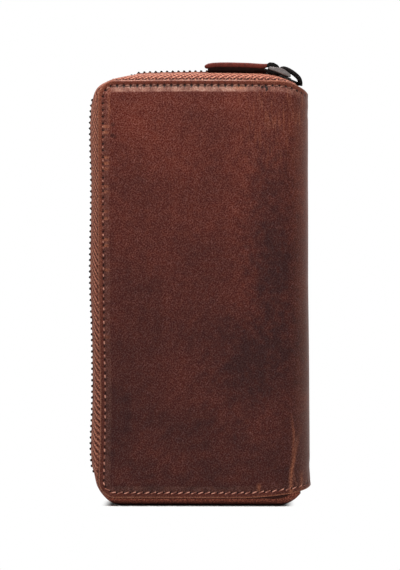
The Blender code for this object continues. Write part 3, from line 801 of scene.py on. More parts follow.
    def rubbing(self, add: Add, sheet: NodeSocket, mottle: NodeSocket) -> NodeSocket:
        """Where the wax has been rubbed to tan: the bends of the spine and fine upright scratches.

        Args:
            add: adds a node to the material.
            sheet: place on the flat hide.
            mottle: the unevenness that frays the marks.

        Returns:
            A share of rubbed colour.
        """
        place = add("SeparateXYZ", (sheet,)).node.outputs
        streak = add("Mapping", {"Vector": sheet, "Scale": (1 / (0.9 * MM), 1 / (9.0 * MM), 1.0)})
        scratch = add("TexNoise", {"Vector": streak, "Scale": 1.0, "Detail": 3.0}, noise_dimensions="2D")
        lines = add("MapRange", (scratch, *self.scratch))
        high = add("MapRange", (place["Y"], *self.handled_high), interpolation_type="SMOOTHSTEP")
        right = add("Math WRAP", (place["X"], HIDE_STEP, 0.0))
        right = add("MapRange", (right, *self.handled_right), interpolation_type="SMOOTHSTEP")
        handled = add("Math MULTIPLY", (high, right))
        worn = add("Math MULTIPLY", (lines, handled))
        for s, z, reach, bend, wide, strength in self.creases:
            rise = add("Math ADD", (place["Y"], -z * MM))
            bow = add("Math MULTIPLY", (rise, rise))
            off = add("Math MULTIPLY_ADD", (bow, bend / MM, s * MM))
            off = add("Math MULTIPLY_ADD", (mottle, 1.2 * MM, off))
            off = add("Math SUBTRACT", (place["X"], off))
            off = add("Math ABSOLUTE", (off,))
            line = add("MapRange", (off, 0.0, wide * MM, strength, 0.0))
            ends = add("Math ABSOLUTE", (rise,))
            ends = add("MapRange", (ends, 0.4 * reach * MM, reach * MM, 1.0, 0.0))
            line = add("Math MULTIPLY", (line, ends))
            worn = add("Math MAXIMUM", (worn, line))
        return worn

    def shade(self, add: Add) -> Inputs:
        """Draws it on the sheet's UV map and the seam attribute.

        Args:
            add: adds a node to the material.

        Returns:
            What goes into the Principled shader.
        """
        sheet = add("UVMap", uv_map="sheet")
        seam = add("Attribute", attribute_name="seam", out="Vector")
        stitch = add("SeparateXYZ", (seam,)).node.outputs
        place = add("SeparateXYZ", (sheet,)).node.outputs
        mottle = add(
            "TexNoise", {"Vector": sheet, "Scale": 1 / self.mottle, "Detail": 3.0, "Roughness": 0.6},
            noise_dimensions="2D",
        )
        turned = add("Mapping", {"Vector": sheet, "Rotation": (0.0, 0.0, self.slant)})
        grain = add(
            "TexNoise", {"Vector": turned, "Scale": 1 / self.grain, "Detail": 2.0, "Roughness": 0.6},
            noise_dimensions="2D",
        )
        # The dyed hide, with its pores and the marks of hairs.
        field = add(
            "ValToRGB", (self.tone(add, sheet, mottle),),
            stops=((0.2, self.dark), (0.5, self.middle), (0.85, self.warm)),
        )
        fleck = add("Math MULTIPLY_ADD", (grain, grain, -0.262))
        for turn in self.hairs:
            hair = add("Mapping", {"Vector": sheet, "Rotation": (0.0, 0.0, turn)})
            hair = add("Mapping", {"Vector": hair, "Scale": (1 / (0.55 * MM), 1 / (4.0 * MM), 1.0)})
            hair = add("TexNoise", {"Vector": hair, "Scale": 1.0, "Detail": 1.0}, noise_dimensions="2D")
            hair = add("MapRange", (hair, *self.hair_line))
            fleck = add("Math ADD", (fleck, hair))
        dull = add("Math ADD", (mottle, -0.5))
        dull = add("VectorMath MULTIPLY_ADD", (dull, self.bloom, (1.0, 1.0, 1.0)))
        fleck = add("VectorMath MULTIPLY_ADD", (fleck, self.pores, dull))
        fleck = add("VectorMath MAXIMUM", (fleck, (0.3, 0.2, 0.2)))
        field = add("VectorMath MULTIPLY", (field, fleck))

        # The rubbed rim outside the seam and the ridge inside it; the inset counts in centimetres.
        inset = add("Math MULTIPLY", (stitch["Y"], 0.1))
        turn = add("Math PINGPONG", (stitch["X"], 0.5))
        swell = add("Math MULTIPLY", (turn, math.pi))
        swell = add("Math SINE", (swell,))
        swell = add("Math MULTIPLY_ADD", (swell, 0.1, -0.05))
        swell = add("Math MULTIPLY", (swell, stitch["Z"]))
        pulled = add("Math ADD", (inset, swell))
        worn = add("ValToRGB", (inset,), stops=((0.0, 0.8), (0.03, 0.6), (0.05, 0.2), (0.07, 0.0)))
        worn = add("Math MULTIPLY", (worn, stitch["Z"]))
        rim = add("ValToRGB", (inset,), stops=((0.015, 0.8), (0.05, 0.4), (0.09, 0.0)))
        broad = add("ValToRGB", (inset,), stops=((0.0, 0.6), (0.06, 0.4), (0.13, 0.4), (0.2, 0.0)))
        upper = add("MapRange", (place["Y"], *self.upper_rim))
        broad = add("Math MULTIPLY", (broad, upper))
        low = add("MapRange", (place["Y"], *self.lower_rim))
        rim = add("Math MULTIPLY", (rim, low))
        rim = add("Math MAXIMUM", (rim, broad))
        away = add("Math SUBTRACT", (1.0, stitch["Z"]))
        rim = add("Math MULTIPLY", (rim, away))
        ridge = add("MapRange", (pulled, *self.ridge))
        under = add("MapRange", (inset, *self.ridge_end))
        under = add("Math MULTIPLY", (under, stitch["Z"]))
        ridge = add("Math MULTIPLY", (ridge, under))
        worn = add("Math MAXIMUM", (worn, ridge))
        rub = add("MapRange", (mottle, *self.patchy))
        worn = add("Math MULTIPLY", (worn, rub))
        spine = add("Math WRAP", (place["X"], HIDE_STEP, 0.0))
        spine = add("MapRange", (spine, *self.spine_rub), interpolation_type="SMOOTHSTEP")
        worn = add("Math MAXIMUM", (worn, spine))
        marks = self.rubbing(add, sheet, mottle)
        marks = add("Math MAXIMUM", (marks, rim))
        soft = add("VectorMath MULTIPLY_ADD", (fleck, (0.35, 0.3, 0.25), (0.63, 0.68, 0.72)))
        pale, bare = (
            add("VectorMath MULTIPLY", (linear(tint)[:3], soft)) for tint in (self.rubbed, self.tan)
        )
        frayed = add("MapRange", (grain, *self.fray))
        marks = add("Math MULTIPLY", (marks, frayed))
        colour = add("Mix", {0: worn, 6: field, 7: pale}, data_type="RGBA", out=2)
        colour = add("Mix", {0: marks, 6: colour, 7: bare}, data_type="RGBA", out=2)

        # The groove that the thread pulls down.
        sunk = add(
            "ValToRGB", (pulled,), stops=((0.05, 0.0), (0.09, 0.4), (0.17, 0.8), (0.21, 0.4), (0.24, 0.0)),
        )
        depth = add("MapRange", (stitch["Z"], *self.groove_depth))
        sunk = add("Math MULTIPLY", (sunk, depth))
        colour = add("Mix", {0: sunk, 6: colour, 7: linear(self.groove)}, data_type="RGBA", out=2)

        # Needle holes, thread ends and bruises.
        across = add("Math MULTIPLY", (turn, SEAM_PITCH))
        down = add("Math ADD", (stitch["Y"], -SEAM_INSET))
        down = add("Math MULTIPLY_ADD", (stitch["Z"], -TOP_DROP, down))
        down = add("Math ABSOLUTE", (down,))
        away = add("Math MULTIPLY_ADD", (down, 0.8, across))
        size = add("Math MULTIPLY_ADD", (stitch["Z"], 0.68, 0.58))
        shut = add("MapRange", (place["Y"], *self.hole_size))
        size = add("Math MULTIPLY", (size, shut))
        hole = add("MapRange", (away, 0.35, size, 1.0, 0.0))
        for s, z, wide, strength in self.ends:
            away = add("VectorMath DISTANCE", (sheet, (s * MM, z * MM, 0.0)), out="Value")
            end = add("MapRange", (away, 0.5 * wide * MM, wide * MM, strength, 0.0))
            hole = add("Math MAXIMUM", (hole, end))
        colour = add("Mix", {0: hole, 6: colour, 7: linear(self.hole)}, data_type="RGBA", out=2)

        shine = add("MapRange", (mottle, 0.3, 0.7, self.roughness - 0.08, self.roughness + 0.1))
        relief = add("Math MULTIPLY_ADD", (mottle, 0.9, grain))
        bump = add("Bump", {"Height": relief, "Strength": 0.3, "Distance": 0.1 * MM})
        return {
            "Base Color": colour, "Roughness": shine, "Normal": bump, "Specular IOR Level": self.shine,
            "Sheen Weight": self.sheen, "Sheen Roughness": 0.35, "Sheen Tint": linear("dcc4bc"),
        }


@dataclass(frozen=True)
class FleckedLeather(Finish):
    """Thinner skived leather of the strap and the inner pockets: the same dye and wax with a finer,
    closer grain, and a raw cut edge painted dark."""

    name: str
    dark: str
    light: str
    mottle: float = 3.0 * MM
    grain: float = 0.6 * MM  # drawn coarser than the pores, to show
    roughness: float = 0.5
    relief: float = 0.08 * MM
    shine: float = 0.15

    def shade(self, add: Add) -> Inputs:
        """Draws it on object coordinates.

        Args:
            add: adds a node to the material.

        Returns:
            What goes into the Principled shader.
        """
        spot = add("TexCoord", out="Object")
        mottle = add("TexNoise", {"Vector": spot, "Scale": 1 / self.mottle, "Detail": 4.0, "Roughness": 0.65})
        grain = add("TexNoise", {"Vector": spot, "Scale": 1 / self.grain, "Detail": 2.0, "Roughness": 0.7})
        tone = add("Math MULTIPLY_ADD", (grain, 0.7, mottle))
        colour = add("ValToRGB", (tone,), stops=((0.6, self.dark), (1.0, self.light)))
        bump = add("Bump", {"Height": tone, "Strength": 0.5, "Distance": self.relief})
        return {
            "Base Color": colour, "Normal": bump, "Roughness": self.roughness,
            "Specular IOR Level": self.shine,
        }


@dataclass(frozen=True)
class WaxedThread(Finish):
    """Waxed polyester thread, three plies laid together: pale brown dashes with a dull shine and the
    twist just visible across them, stained darker along the handled top and paler near the floor."""

    name: str = "waxed_polyester_thread"
    dark: str = "7b4c3f"
    light: str = "ba8370"
    lay: float = 0.55 * MM
    stain: float = 0.45  # tone along the top
    fresh: float = 1.25  # tone near the floor

    def shade(self, add: Add) -> Inputs:
        """Draws it on object coordinates.

        Args:
            add: adds a node to the material.

        Returns:
            What goes into the Principled shader.
        """
        spot = add("TexCoord", out="Object")
        turned = add("Mapping", {"Vector": spot, "Rotation": (0.0, math.radians(45.0), 0.0)})
        ply = add("TexWave", {"Vector": turned, "Scale": 0.05 / self.lay, "Distortion": 1.5}, out="Fac")
        colour = add("ValToRGB", (ply,), stops=((0.15, self.dark), (0.8, self.light)))
        bump = add("Bump", {"Height": ply, "Strength": 0.5, "Distance": 0.05 * MM})
        level = add("SeparateXYZ", (spot,), out="Z")
        high = add("MapRange", (level, 0.165, 0.188, 1.0, self.stain))
        fresh = add("MapRange", (level, 0.011, 0.016, self.fresh, 1.0))
        high = add("Math MULTIPLY", (high, fresh))
        colour = add("VectorMath SCALE", {0: colour, "Scale": high})
        return {"Base Color": colour, "Normal": bump, "Roughness": 0.6, "Specular IOR Level": 0.12}


@dataclass(frozen=True)
class HerringboneTape(Finish):
    """Woven polyester zip tape: matt red brown, with slanting ribs over a close check of yarns, dark
    gaps between them, a row of dark dots where it is sewn in, and soil towards the floor."""

    name: str = "herringbone_polyester_tape"
    gap: str = "34130d"
    yarn: str = "743d2f"
    proud: str = "b57a64"
    column: float = 2.2 * MM
    rib: float = 3.0 * MM  # drawn about three times as coarse as the yarn, to show
    slant: float = 1.15
    dot_pitch: float = 1.5 * MM
    dot_row: float = 0.55 * MM  # from the leather's edge
    shadow: str = "1d0b08"  # of the dots, and of the leather's edge near the floor
    # How soiled it is at a height in centimetres.
    soil: tuple[tuple[float, str], ...] = (
        (0.05, "0a0504"), (0.13, "9a746c"), (0.30, "e8d4ce"), (1.0, "ffffff"),
    )

    def shade(self, add: Add) -> Inputs:
        """Draws it on the tape's UV map, which runs along and across it.

        Args:
            add: adds a node to the material.

        Returns:
            What goes into the Principled shader.
        """
        sheet = add("UVMap", uv_map="sheet")
        place = add("SeparateXYZ", (sheet,)).node.outputs
        line = add("Math MULTIPLY_ADD", (place["Y"], -self.slant, place["X"]))
        waves = ((line, self.rib), (place["X"], self.dot_pitch), (place["Y"], self.column))
        rib, step, row = (
            add("Math SINE", (add("Math MULTIPLY", (run, 2 * math.pi / pitch)),)) for run, pitch in waves
        )
        check = add("Math MULTIPLY", (step, row))
        fuzz = add(
            "TexNoise", {"Vector": sheet, "Scale": 1 / (0.7 * MM), "Detail": 3.0}, noise_dimensions="2D",
        )
        spot = add("TexCoord", out="Object")
        level = add("SeparateXYZ", (spot,), out="Z")
        level = add("Math MULTIPLY", (level, 100.0))
        low = add("MapRange", (level, 0.8, 2.6, 1.0, 0.0))
        high = add("Math SUBTRACT", (1.0, low))
        top = add("MapRange", (level, 18.6, 19.2, 0.35, 1.0))
        check = add("Math MULTIPLY", (check, top))
        rib = add("Math MULTIPLY", (rib, 0.2))
        rib = add("Math MULTIPLY_ADD", (check, 0.17, rib))
        weave = add("Math MULTIPLY_ADD", (rib, high, fuzz))
        colour = add("ValToRGB", (weave,), stops=((0.25, self.gap), (0.5, self.yarn), (0.78, self.proud)))
        step = add("Math PINGPONG", (place["X"], 0.5 * self.dot_pitch))
        row = add("Math SUBTRACT", (place["Y"], self.dot_row))
        both = add("CombineXYZ", (step, row))
        away = add("VectorMath LENGTH", (both,), out="Value")
        dot = add("MapRange", (away, 0.3 * MM, 0.6 * MM, 0.95, 0.0))
        dot = add("Math MULTIPLY", (dot, high))
        dot = add("Math MULTIPLY", (dot, top))
        soil = add("ValToRGB", (level,), stops=self.soil)
        colour = add("Mix", {0: dot, 6: colour, 7: linear(self.shadow)}, data_type="RGBA", out=2)
        beside = add("MapRange", (place["Y"], 0.2 * MM, 0.7 * MM, 0.85, 0.0))
        under = add("Math MULTIPLY", (beside, low))
        colour = add("Mix", {0: under, 6: colour, 7: linear(self.shadow)}, data_type="RGBA", out=2)
        colour = add("Mix", {0: 1.0, 6: colour, 7: soil}, data_type="RGBA", blend_type="MULTIPLY", out=2)
        bump = add("Bump", {"Height": weave, "Strength": 0.6, "Distance": 0.15 * MM})
        return {"Base Color": colour, "Normal": bump, "Roughness": 0.85, "Specular IOR Level": 0.2}


@dataclass(frozen=True)
class Plated(Finish):
    """Die-cast zinc plated in black nickel: a dark mirror with soft tumbled edges, rubbed paler in
    fine scratches."""

    name: str
    base: str
    worn: str
    roughness: float
    scratch: float = 0.5 * MM
    metal: float = 1.0

    def shade(self, add: Add) -> Inputs:
        """Draws it on object coordinates.

        Args:
            add: adds a node to the material.

        Returns:
            What goes into the Principled shader.
        """
        spot = add("TexCoord", out="Object")
        rub = add("TexNoise", {"Vector": spot, "Scale": 1 / self.scratch, "Detail": 4.0, "Roughness": 0.7})
        colour = add("ValToRGB", (rub,), stops=((0.45, self.base), (0.8, self.worn)))
        shine = add("MapRange", (rub, 0.0, 1.0, self.roughness - 0.08, self.roughness + 0.12))
        return {
            "Base Color": colour, "Roughness": shine, "Metallic": self.metal, "Specular IOR Level": 0.1,
            "Specular Tint": linear(self.worn),
        }


@dataclass(frozen=True)
class WovenLining(Finish):
    """Plain woven cotton lining: matt dark brown, with fine square threads."""

    name: str = "woven_cotton_lining"
    dark: str = "2b1814"
    light: str = "4b2d26"
    thread: float = 0.8 * MM  # drawn about twice as coarse as the thread, to show

    def shade(self, add: Add) -> Inputs:
        """Draws it on object coordinates.

        Args:
            add: adds a node to the material.

        Returns:
            What goes into the Principled shader.
        """
        spot = add("TexCoord", out="Object")
        wave = {"Vector": spot, "Scale": 0.05 / self.thread * 2, "Distortion": 0.6}
        both = [add("TexWave", wave, bands_direction=way, out="Fac") for way in ("X", "Z")]
        weave = add("Math MULTIPLY", both)
        colour = add("ValToRGB", (weave,), stops=((0.1, self.dark), (0.7, self.light)))
        bump = add("Bump", {"Height": weave, "Strength": 0.5, "Distance": 0.1 * MM})
        return {"Base Color": colour, "Normal": bump, "Roughness": 0.9}


@dataclass(frozen=True)
class GreyBoard(Finish):
    """Pressed grey board: matt and fibrous."""

    name: str = "pressed_grey_board"
    dark: str = "6f6558"
    light: str = "8d8272"

    def shade(self, add: Add) -> Inputs:
        """Draws it on object coordinates.

        Args:
            add: adds a node to the material.

        Returns:
            What goes into the Principled shader.
        """
        spot = add("TexCoord", out="Object")
        fibre = add("TexNoise", {"Vector": spot, "Scale": 1 / (1.2 * MM), "Detail": 4.0})
        colour = add("ValToRGB", (fibre,), stops=((0.3, self.dark), (0.7, self.light)))
        return {"Base Color": colour, "Roughness": 0.95}


@dataclass(frozen=True)
class Shell:
    """Sizes of the closed wallet that its pieces share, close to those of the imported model."""

    left: float = -45.5 * MM  # zip edge of the panels
    fold: float = 36.7 * MM  # where a panel meets the spine
    depth: float = 13.0 * MM  # middle plane to the outer face, and the spine's radius
    low: float = 3.9 * MM  # lower edge of the panels
    high: float = 193.55 * MM  # top of their bowed upper edge
    bow: float = 0.3 * MM
    corner: float = 7.8 * MM  # tighter than the plain solid's
    wall: float = 1.4 * MM  # leather
    crown_top: float = 196.7 * MM  # crown of the zip
    top_radius: float = 260.0 * MM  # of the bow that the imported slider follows
    crown_corner: float = 16.0 * MM
    end_x: float = 44.2 * MM
    slider_x: float = 40.25 * MM  # middle of the slider at rest
    low_end: float = 46.4 * MM  # the lower end of the zip, curled up under the spine
    base_end: float = 35.5 * MM
    end_radius: float = 13.5 * MM
    gap: float = 0.3 * MM
    crown_bow: float = 1.8  # twice the radius of the zip's upper run
    curl_from: float = 28.0 * MM  # where that run starts to curl down
    curl: float = 67.0 * MM
    turn_in: float = 3.6 * MM  # last stretch of the leather's edge, which turns round the spine
    foot_from: float = 62.0 * MM  # where the lower edge starts to rise
    foot_rise: float = 3.2
    head_from: float = 81.0 * MM  # where the upper edge starts to dip, first in a bend and then straight
    head_bend: float = 7.0 * MM
    head_dip: float = 24.0
    head_slope: float = 0.38
    # How far the zip edge of the leather has been pushed in at a height.
    pushed: tuple[Flat, ...] = (
        (0.010, 0.0), (0.022, 0.45 * MM), (0.036, 0.8 * MM), (0.052, 0.9 * MM), (0.068, 0.65 * MM),
        (0.086, 0.3 * MM), (0.13, 0.0),
    )

    @property
    def width(self) -> float:
        """Zip edge to the fold."""
        return self.fold - self.left

    @property
    def girth(self) -> float:
        """Zip edge to the middle of the spine, along the leather."""
        return self.width + 0.5 * math.pi * self.depth

    @property
    def top_centre(self) -> float:
        """Height of the centre of the zip's bowed upper run."""
        return self.crown_top - self.top_radius

    def crown(self, x: float) -> float:
        """Height of the zip's upper run: nearly flat, and curling down towards the slider."""
        past = max(x - self.curl_from, 0.0)
        return self.crown_top - x * x / self.crown_bow - past * past / self.curl

    def eased(self, s: Values) -> Values:
        """Distance from the zip edge, slowing to the middle of the spine so that the edge turns round it."""
        return s - np.clip(s - self.girth + self.turn_in, 0.0, None) ** 2 / (2 * self.turn_in)

    def head(self, s: Values) -> Values:
        """Upper edge of the leather, drawn in past the fold.

        Args:
            s: distance from the zip edge.

        Returns:
            Its height.
        """
        off = np.clip(s / self.width, 0.0, 1.0) * 2.0 - 1.0
        past = np.clip(s - self.head_from, 0.0, self.head_bend)
        straight = np.clip(self.eased(s) - self.head_from - self.head_bend, 0.0, None)
        dip = self.head_dip * past * past + self.head_slope * straight
        return self.high - self.bow * off * off - dip

    def foot(self, s: Values) -> Values:
        """Lower edge of the leather at a distance from the zip edge, drawn in at the spine."""
        return self.low + self.foot_rise * np.clip(self.eased(s) - self.foot_from, 0.0, None) ** 2

    def lean(self, z: Values) -> Values:
        """How far the zip edge of the leather has been pushed in at a height."""
        return np.interp(z, *zip(*self.pushed))


@dataclass
class Cover:
    """One half of the outer leather: a panel and its half of the spine, with the sewn seam round it."""

    half: Half
    shell: Shell
    leather: Material
    thread: Material
    pitch: float = SEAM_PITCH * MM
    seam: float = SEAM_INSET * MM
    field: float = 12.0 * MM  # inset at which the fine band ends
    columns: tuple[int, int, int] = (192, 24, 348)
    coarse: int = 6

    # Inset in mm against the height of the skin over the plain panel: a rounded edge, a rim with a
    # rubbed line, the groove that the thread pulls down, and the padded field.
    profile: tuple[Flat, ...] = (
        (0.0, -0.95), (0.12, -0.66), (0.3, -0.50), (0.55, -0.44), (0.9, -0.46), (1.3, -0.52),
        (1.7, -0.60), (2.0, -0.69), (2.3, -0.76), (2.6, -0.70), (2.9, -0.58), (3.3, -0.43),
        (3.9, -0.27), (4.5, -0.13), (5.1, -0.02), (5.6, 0.03), (6.4, 0.05), (8.0, 0.06), (10.0, 0.08),
    )

    # Where the stitches pull the skin down, in mm: inset, reach and depth.
    tugs: tuple[Row, ...] = ((SEAM_INSET, 0.55, 0.16), (3.4, 0.8, 0.11), (0.7, 0.7, 0.04))
    # How far the spine flares, in mm, at a height.
    flare: tuple[Flat, ...] = (
        (0.009, 1.45), (0.016, 0.65), (0.06, 0.3), (0.1, -0.15), (0.15, -0.3), (0.176, -0.25), (0.19, 0.25),
    )
    # Stitches along the foot, the top and the zip edge: slant in degrees, share of length and width.
    foot_stitch: Row = (20.0, 1.08, 0.9)
    top_stitch: Row = (14.0, 0.82, 1.25)
    side_stitch: Row = (8.0, 0.38, 0.85)
    side_loose: Row = (0.0, 0.20, 0.35)  # what those near the floor have more

    def ring(self, inset: float) -> tuple[np.ndarray, np.ndarray]:
        """The leather's outline drawn in by an inset, from the lower end round to the upper end.

        Args:
            inset: distance from the sewn edge.

        Returns:
            Distance from the zip edge and height of each point.
        """
        shell = self.shell
        along, bend, side = self.columns
        radius = max(shell.corner - inset, 1.0 * MM)
        middle = inset + radius
        low = shell.foot(middle) + inset + radius
        high = shell.head(middle) - inset - radius
        run = np.linspace(shell.girth, middle, along + 1)
        back = run[::-1][1:]
        turn = np.radians(np.linspace(270.0, 180.0, bend + 1))[1:]
        over = np.radians(np.linspace(180.0, 90.0, bend + 1))[1:]
        up = np.linspace(low, high, side + 1)[1:]
        s = np.concatenate([
            run, middle + radius * np.cos(turn), np.full(side, inset), middle + radius * np.cos(over), back,
        ])
        z = np.concatenate([
            shell.foot(run) + inset, low + radius * np.sin(turn), up, high + radius * np.sin(over),
            shell.head(back) - inset,
        ])
        return s, z

    def stitches(self) -> tuple[np.ndarray, int]:
        """How many stitches have been sewn up to each column of the outline.

        Returns:
            The count at each column, and the whole number of stitches.
        """
        along = lengths(np.stack(self.ring(self.seam), axis=-1))
        count = int(round(along[-1] / self.pitch))
        return along / along[-1] * count, count

    def place(self, s: np.ndarray, z: np.ndarray, height: np.ndarray) -> np.ndarray:
        """Bends the flat leather round the fold.

        Args:
            s: distance from the zip edge.
            z: height above the floor.
            height: distance out from the plain skin.

        Returns:
            Points in the frame, one to a row.
        """
        shell = self.shell
        turn = np.clip(s - shell.width, 0.0, None) / shell.depth
        radius = shell.depth + height
        flare = np.interp(z, *zip(*self.flare)) * MM
        x = shell.left + np.minimum(s, shell.width) + (radius + flare) * np.sin(turn)
        x = x + shell.lean(z) * np.clip(1.0 - s / (40.0 * MM), 0.0, 1.0)
        return np.stack([x, self.half.value * radius * np.cos(turn), z], axis=-1)

    def wave(self, s: np.ndarray, z: np.ndarray) -> np.ndarray:
        """A slight waviness of the skin."""
        return 0.05 * MM * np.sin(s / (7.3 * MM) + 1.0) * np.sin(z / (9.1 * MM))

    def height(self, inset: float, sewn: np.ndarray, s: np.ndarray, z: np.ndarray) -> np.ndarray:
        """Height of the skin at an inset, with the pull of the stitches and a slight waviness.

        Args:
            inset: distance from the sewn edge.
            sewn: stitches up to each point.
            s: distance from the zip edge of each point.
            z: height of each point.

        Returns:
            Height over the plain skin at each point.
        """
        steps = np.array(self.profile) * MM
        plain = np.interp(inset, steps[:, 0], steps[:, 1])
        hole = np.cos(2 * np.pi * sewn)
        pull = sum(np.exp(-((inset / MM - at) / reach) ** 2) * deep * MM for at, reach, deep in self.tugs)
        uneven = 0.03 * MM * np.sin(2 * np.pi * sewn / 7.0 + 0.6) * np.exp(-inset / (4.0 * MM))
        plain = plain * (1.0 - 0.7 * smoothstep(self.shell.width, self.shell.girth, s))
        return plain - pull * np.maximum(hole, -0.6) + self.wave(s, z) * min(inset / (6 * MM), 1) + uneven

    def rubbed(self, s: np.ndarray, z: np.ndarray) -> np.ndarray:
        """How far the padded edge has been rubbed: most of all under the top, away from its corners.

        Args:
            s: distance from the zip edge of each point.
            z: height of each point.

        Returns:
            A share for each point.
        """
        top = smoothstep(self.shell.high - 14.0 * MM, self.shell.high - 7.0 * MM, z)
        share = 0.12 + 0.88 * top * smoothstep(5.0 * MM, 10.0 * MM, s)
        return share * (1.0 - 0.72 * smoothstep(60.0 * MM, 76.0 * MM, s))

    def build(self) -> Object:
        """Makes the leather as one closed sheet with a fine sewn band and a coarser field.

        Returns:
            The leather.
        """
        sewn, _ = self.stitches()
        insets = [step[0] * MM for step in self.profile]
        count = len(sewn)
        points: list[np.ndarray] = []
        sheet: list[np.ndarray] = []
        marks: list[np.ndarray] = []
        faces: list[list[int]] = []

        def add(s: np.ndarray, z: np.ndarray, up: np.ndarray, inset: float, tally: np.ndarray) -> int:
            """Adds a row of points.

            Args:
                s: distance from the zip edge of each point.
                z: height of each point.
                up: height of each over the plain skin.
                inset: of the row from the sewn edge.
                tally: stitches up to each point.

            Returns:
                The index of its first point.
            """
            start = sum(len(row) for row in points)
            points.append(self.place(s, z, up))
            sheet.append(np.stack([s, z], axis=-1))
            marks.append(np.stack([tally, np.full_like(s, inset / MM), self.rubbed(s, z)], axis=-1))
            return start

        outer = [add(*self.ring(inset), self.height(inset, sewn, *self.ring(inset)), inset, sewn)
                 for inset in insets]
        under = (0.0, 4.0 * MM, insets[-1])
        inner = [add(*self.ring(inset), np.full(count, -self.shell.wall), inset, sewn) for inset in under]
        for first, second in [*zip(outer, outer[1:]), *zip(inner, inner[1:]), (outer[0], inner[0])]:
            faces += [[first + i, first + i + 1, second + i + 1, second + i] for i in range(count - 1)]

        edge_s, edge_z = (row[::self.coarse] for row in self.ring(self.field))
        tall = (self.columns[2] + self.columns[1]) // self.coarse
        wide = (len(edge_s) - 1 - tall) // 2
        across, up = np.linspace(0, 1, wide + 1)[:, None], np.linspace(0, 1, tall + 1)[None, :]
        grids = []
        for row in (edge_s, edge_z):
            bottom, top = row[wide::-1][:, None], row[wide + tall:][:, None]
            left = row[wide:wide + tall + 1][None, :]
            right = row[0] + (row[-1] - row[0]) * up
            ruled = bottom * (1 - up) + top * up + left * (1 - across) + right * across
            corners = (bottom[0] * (1 - across) * (1 - up) + bottom[-1] * across * (1 - up)
                       + top[0] * (1 - across) * up + top[-1] * across * up)
            grids.append((ruled - corners).ravel())
        s, z = grids
        inside = np.minimum(np.minimum(s, z - self.shell.low), self.shell.high - z)
        swell = 0.2 * MM * np.clip(inside / (30 * MM), 0, 1)
        dent = 0.22 * MM * np.sin(s / (23.0 * MM) + 0.4) * np.sin(z / (31.0 * MM) + 1.1)
        calm = np.clip((self.shell.width - s) / (20 * MM), 0.0, 1.0)
        none = np.zeros_like(s)
        raised = 0.08 * MM + swell + self.wave(s, z) + dent * calm * swell / (0.2 * MM)
        middle = [add(s, z, up, 40 * MM, none) for up in (raised, np.full_like(s, -self.shell.wall))]
        ring_cells = [(i, 0) for i in range(wide, -1, -1)] + [(0, j) for j in range(1, tall + 1)]
        ring_cells += [(i, tall) for i in range(1, wide + 1)]
        # From the lower end the outline runs to the left, up and back, as the fine band does.
        for start, band in zip(middle, (outer[-1], inner[-1])):
            for i in range(wide):
                for j in range(tall):
                    corner = start + i * (tall + 1) + j
                    faces.append([corner, corner + tall + 1, corner + tall + 2, corner + 1])
            border = [start + i * (tall + 1) + j for i, j in ring_cells]
            for cell in range(len(border) - 1):
                fine = [band + cell * self.coarse + k for k in range(self.coarse + 1)]
                faces.append(fine + [border[cell + 1], border[cell]])
        low_end, high_end = wide * (tall + 1), wide * (tall + 1) + tall
        for column, end in ((0, low_end), (count - 1, high_end)):
            faces.append([row + column for row in outer] + [middle[0] + end, middle[1] + end]
                         + [row + column for row in reversed(inner)])
        for j in range(tall):
            first, second = middle[0] + low_end + j, middle[1] + low_end + j
            faces.append([first, first + 1, second + 1, second])

        piece = skin(f"{self.half.word}_leather", np.concatenate(points), faces, [self.leather], 70.0)
        self.map(piece, np.concatenate(sheet), np.concatenate(marks))
        return piece

    def map(self, piece: Object, sheet: np.ndarray, marks: np.ndarray) -> None:
        """Writes the flat leather's own places and its seam onto the mesh.

        Args:
            piece: the leather.
            sheet: flat place of each point; the back is cut from another part of the hide.
            marks: stitches, inset in mm and how far the padded edge is rubbed, for each point.
        """
        lay_flat(piece, sheet + np.array([0.0 if self.half is Half.FRONT else HIDE_STEP, 0.0]))
        seam = piece.data.attributes.new("seam", "FLOAT_VECTOR", "POINT")
        seam.data.foreach_set("vector", marks.astype(np.float32).ravel())

    def sew(self) -> Object:
        """Models one stitch and sets it along the whole seam.

        Returns:
            All the stitches of this half, as one piece.
        """
        sewn, count = self.stitches()
        model = dash(8, 0.26 * MM, 2.0 * MM, (0.1 * MM, 0.18 * MM), 1)
        half_length = max(vert.co.x for vert in model.data.vertices)
        for vert in model.data.vertices:
            share = vert.co.x / half_length
            vert.co.z -= 0.30 * MM * share ** 4
        s, z = self.ring(self.seam)
        places = []
        for number in range(count):
            at = number + 0.5
            near = at + np.array((-0.3, 0.0, 0.3))
            up = np.full(3, -0.50 * MM)
            flat = np.stack([np.interp(near, sewn, s), np.interp(near, sewn, z)], axis=-1)
            if np.ptp(flat[:, 0]) > np.ptp(flat[:, 1]) and flat[1, 1] > 0.1:
                flat[:, 1] -= TOP_DROP * MM
            before, here, after = (Vector(row) for row in self.place(flat[:, 0], flat[:, 1], up))
            turn = np.clip(flat[1, 0] - self.shell.width, 0.0, None) / self.shell.depth
            out = Vector((math.sin(turn), self.half.value * math.cos(turn), 0.0))
            upright = abs(after.z - before.z) > (after - before).length * 0.7
            loose = float(smoothstep(0.15, 0.05, here.z))
            slant, long, wide = self.foot_stitch if here.z < 0.1 else self.top_stitch
            if upright:
                slant, long, wide = (a + loose * b for a, b in zip(self.side_stitch, self.side_loose))
            lean = Matrix.Rotation(math.radians(-slant * self.half.value), 4, "Z")
            grow = Matrix.Diagonal((long, wide, 1.0, 1.0))
            places.append(frame_at(here, after - before, out) @ lean @ grow)
        return copies(f"{self.half.word}_seam", model, places, [self.thread])

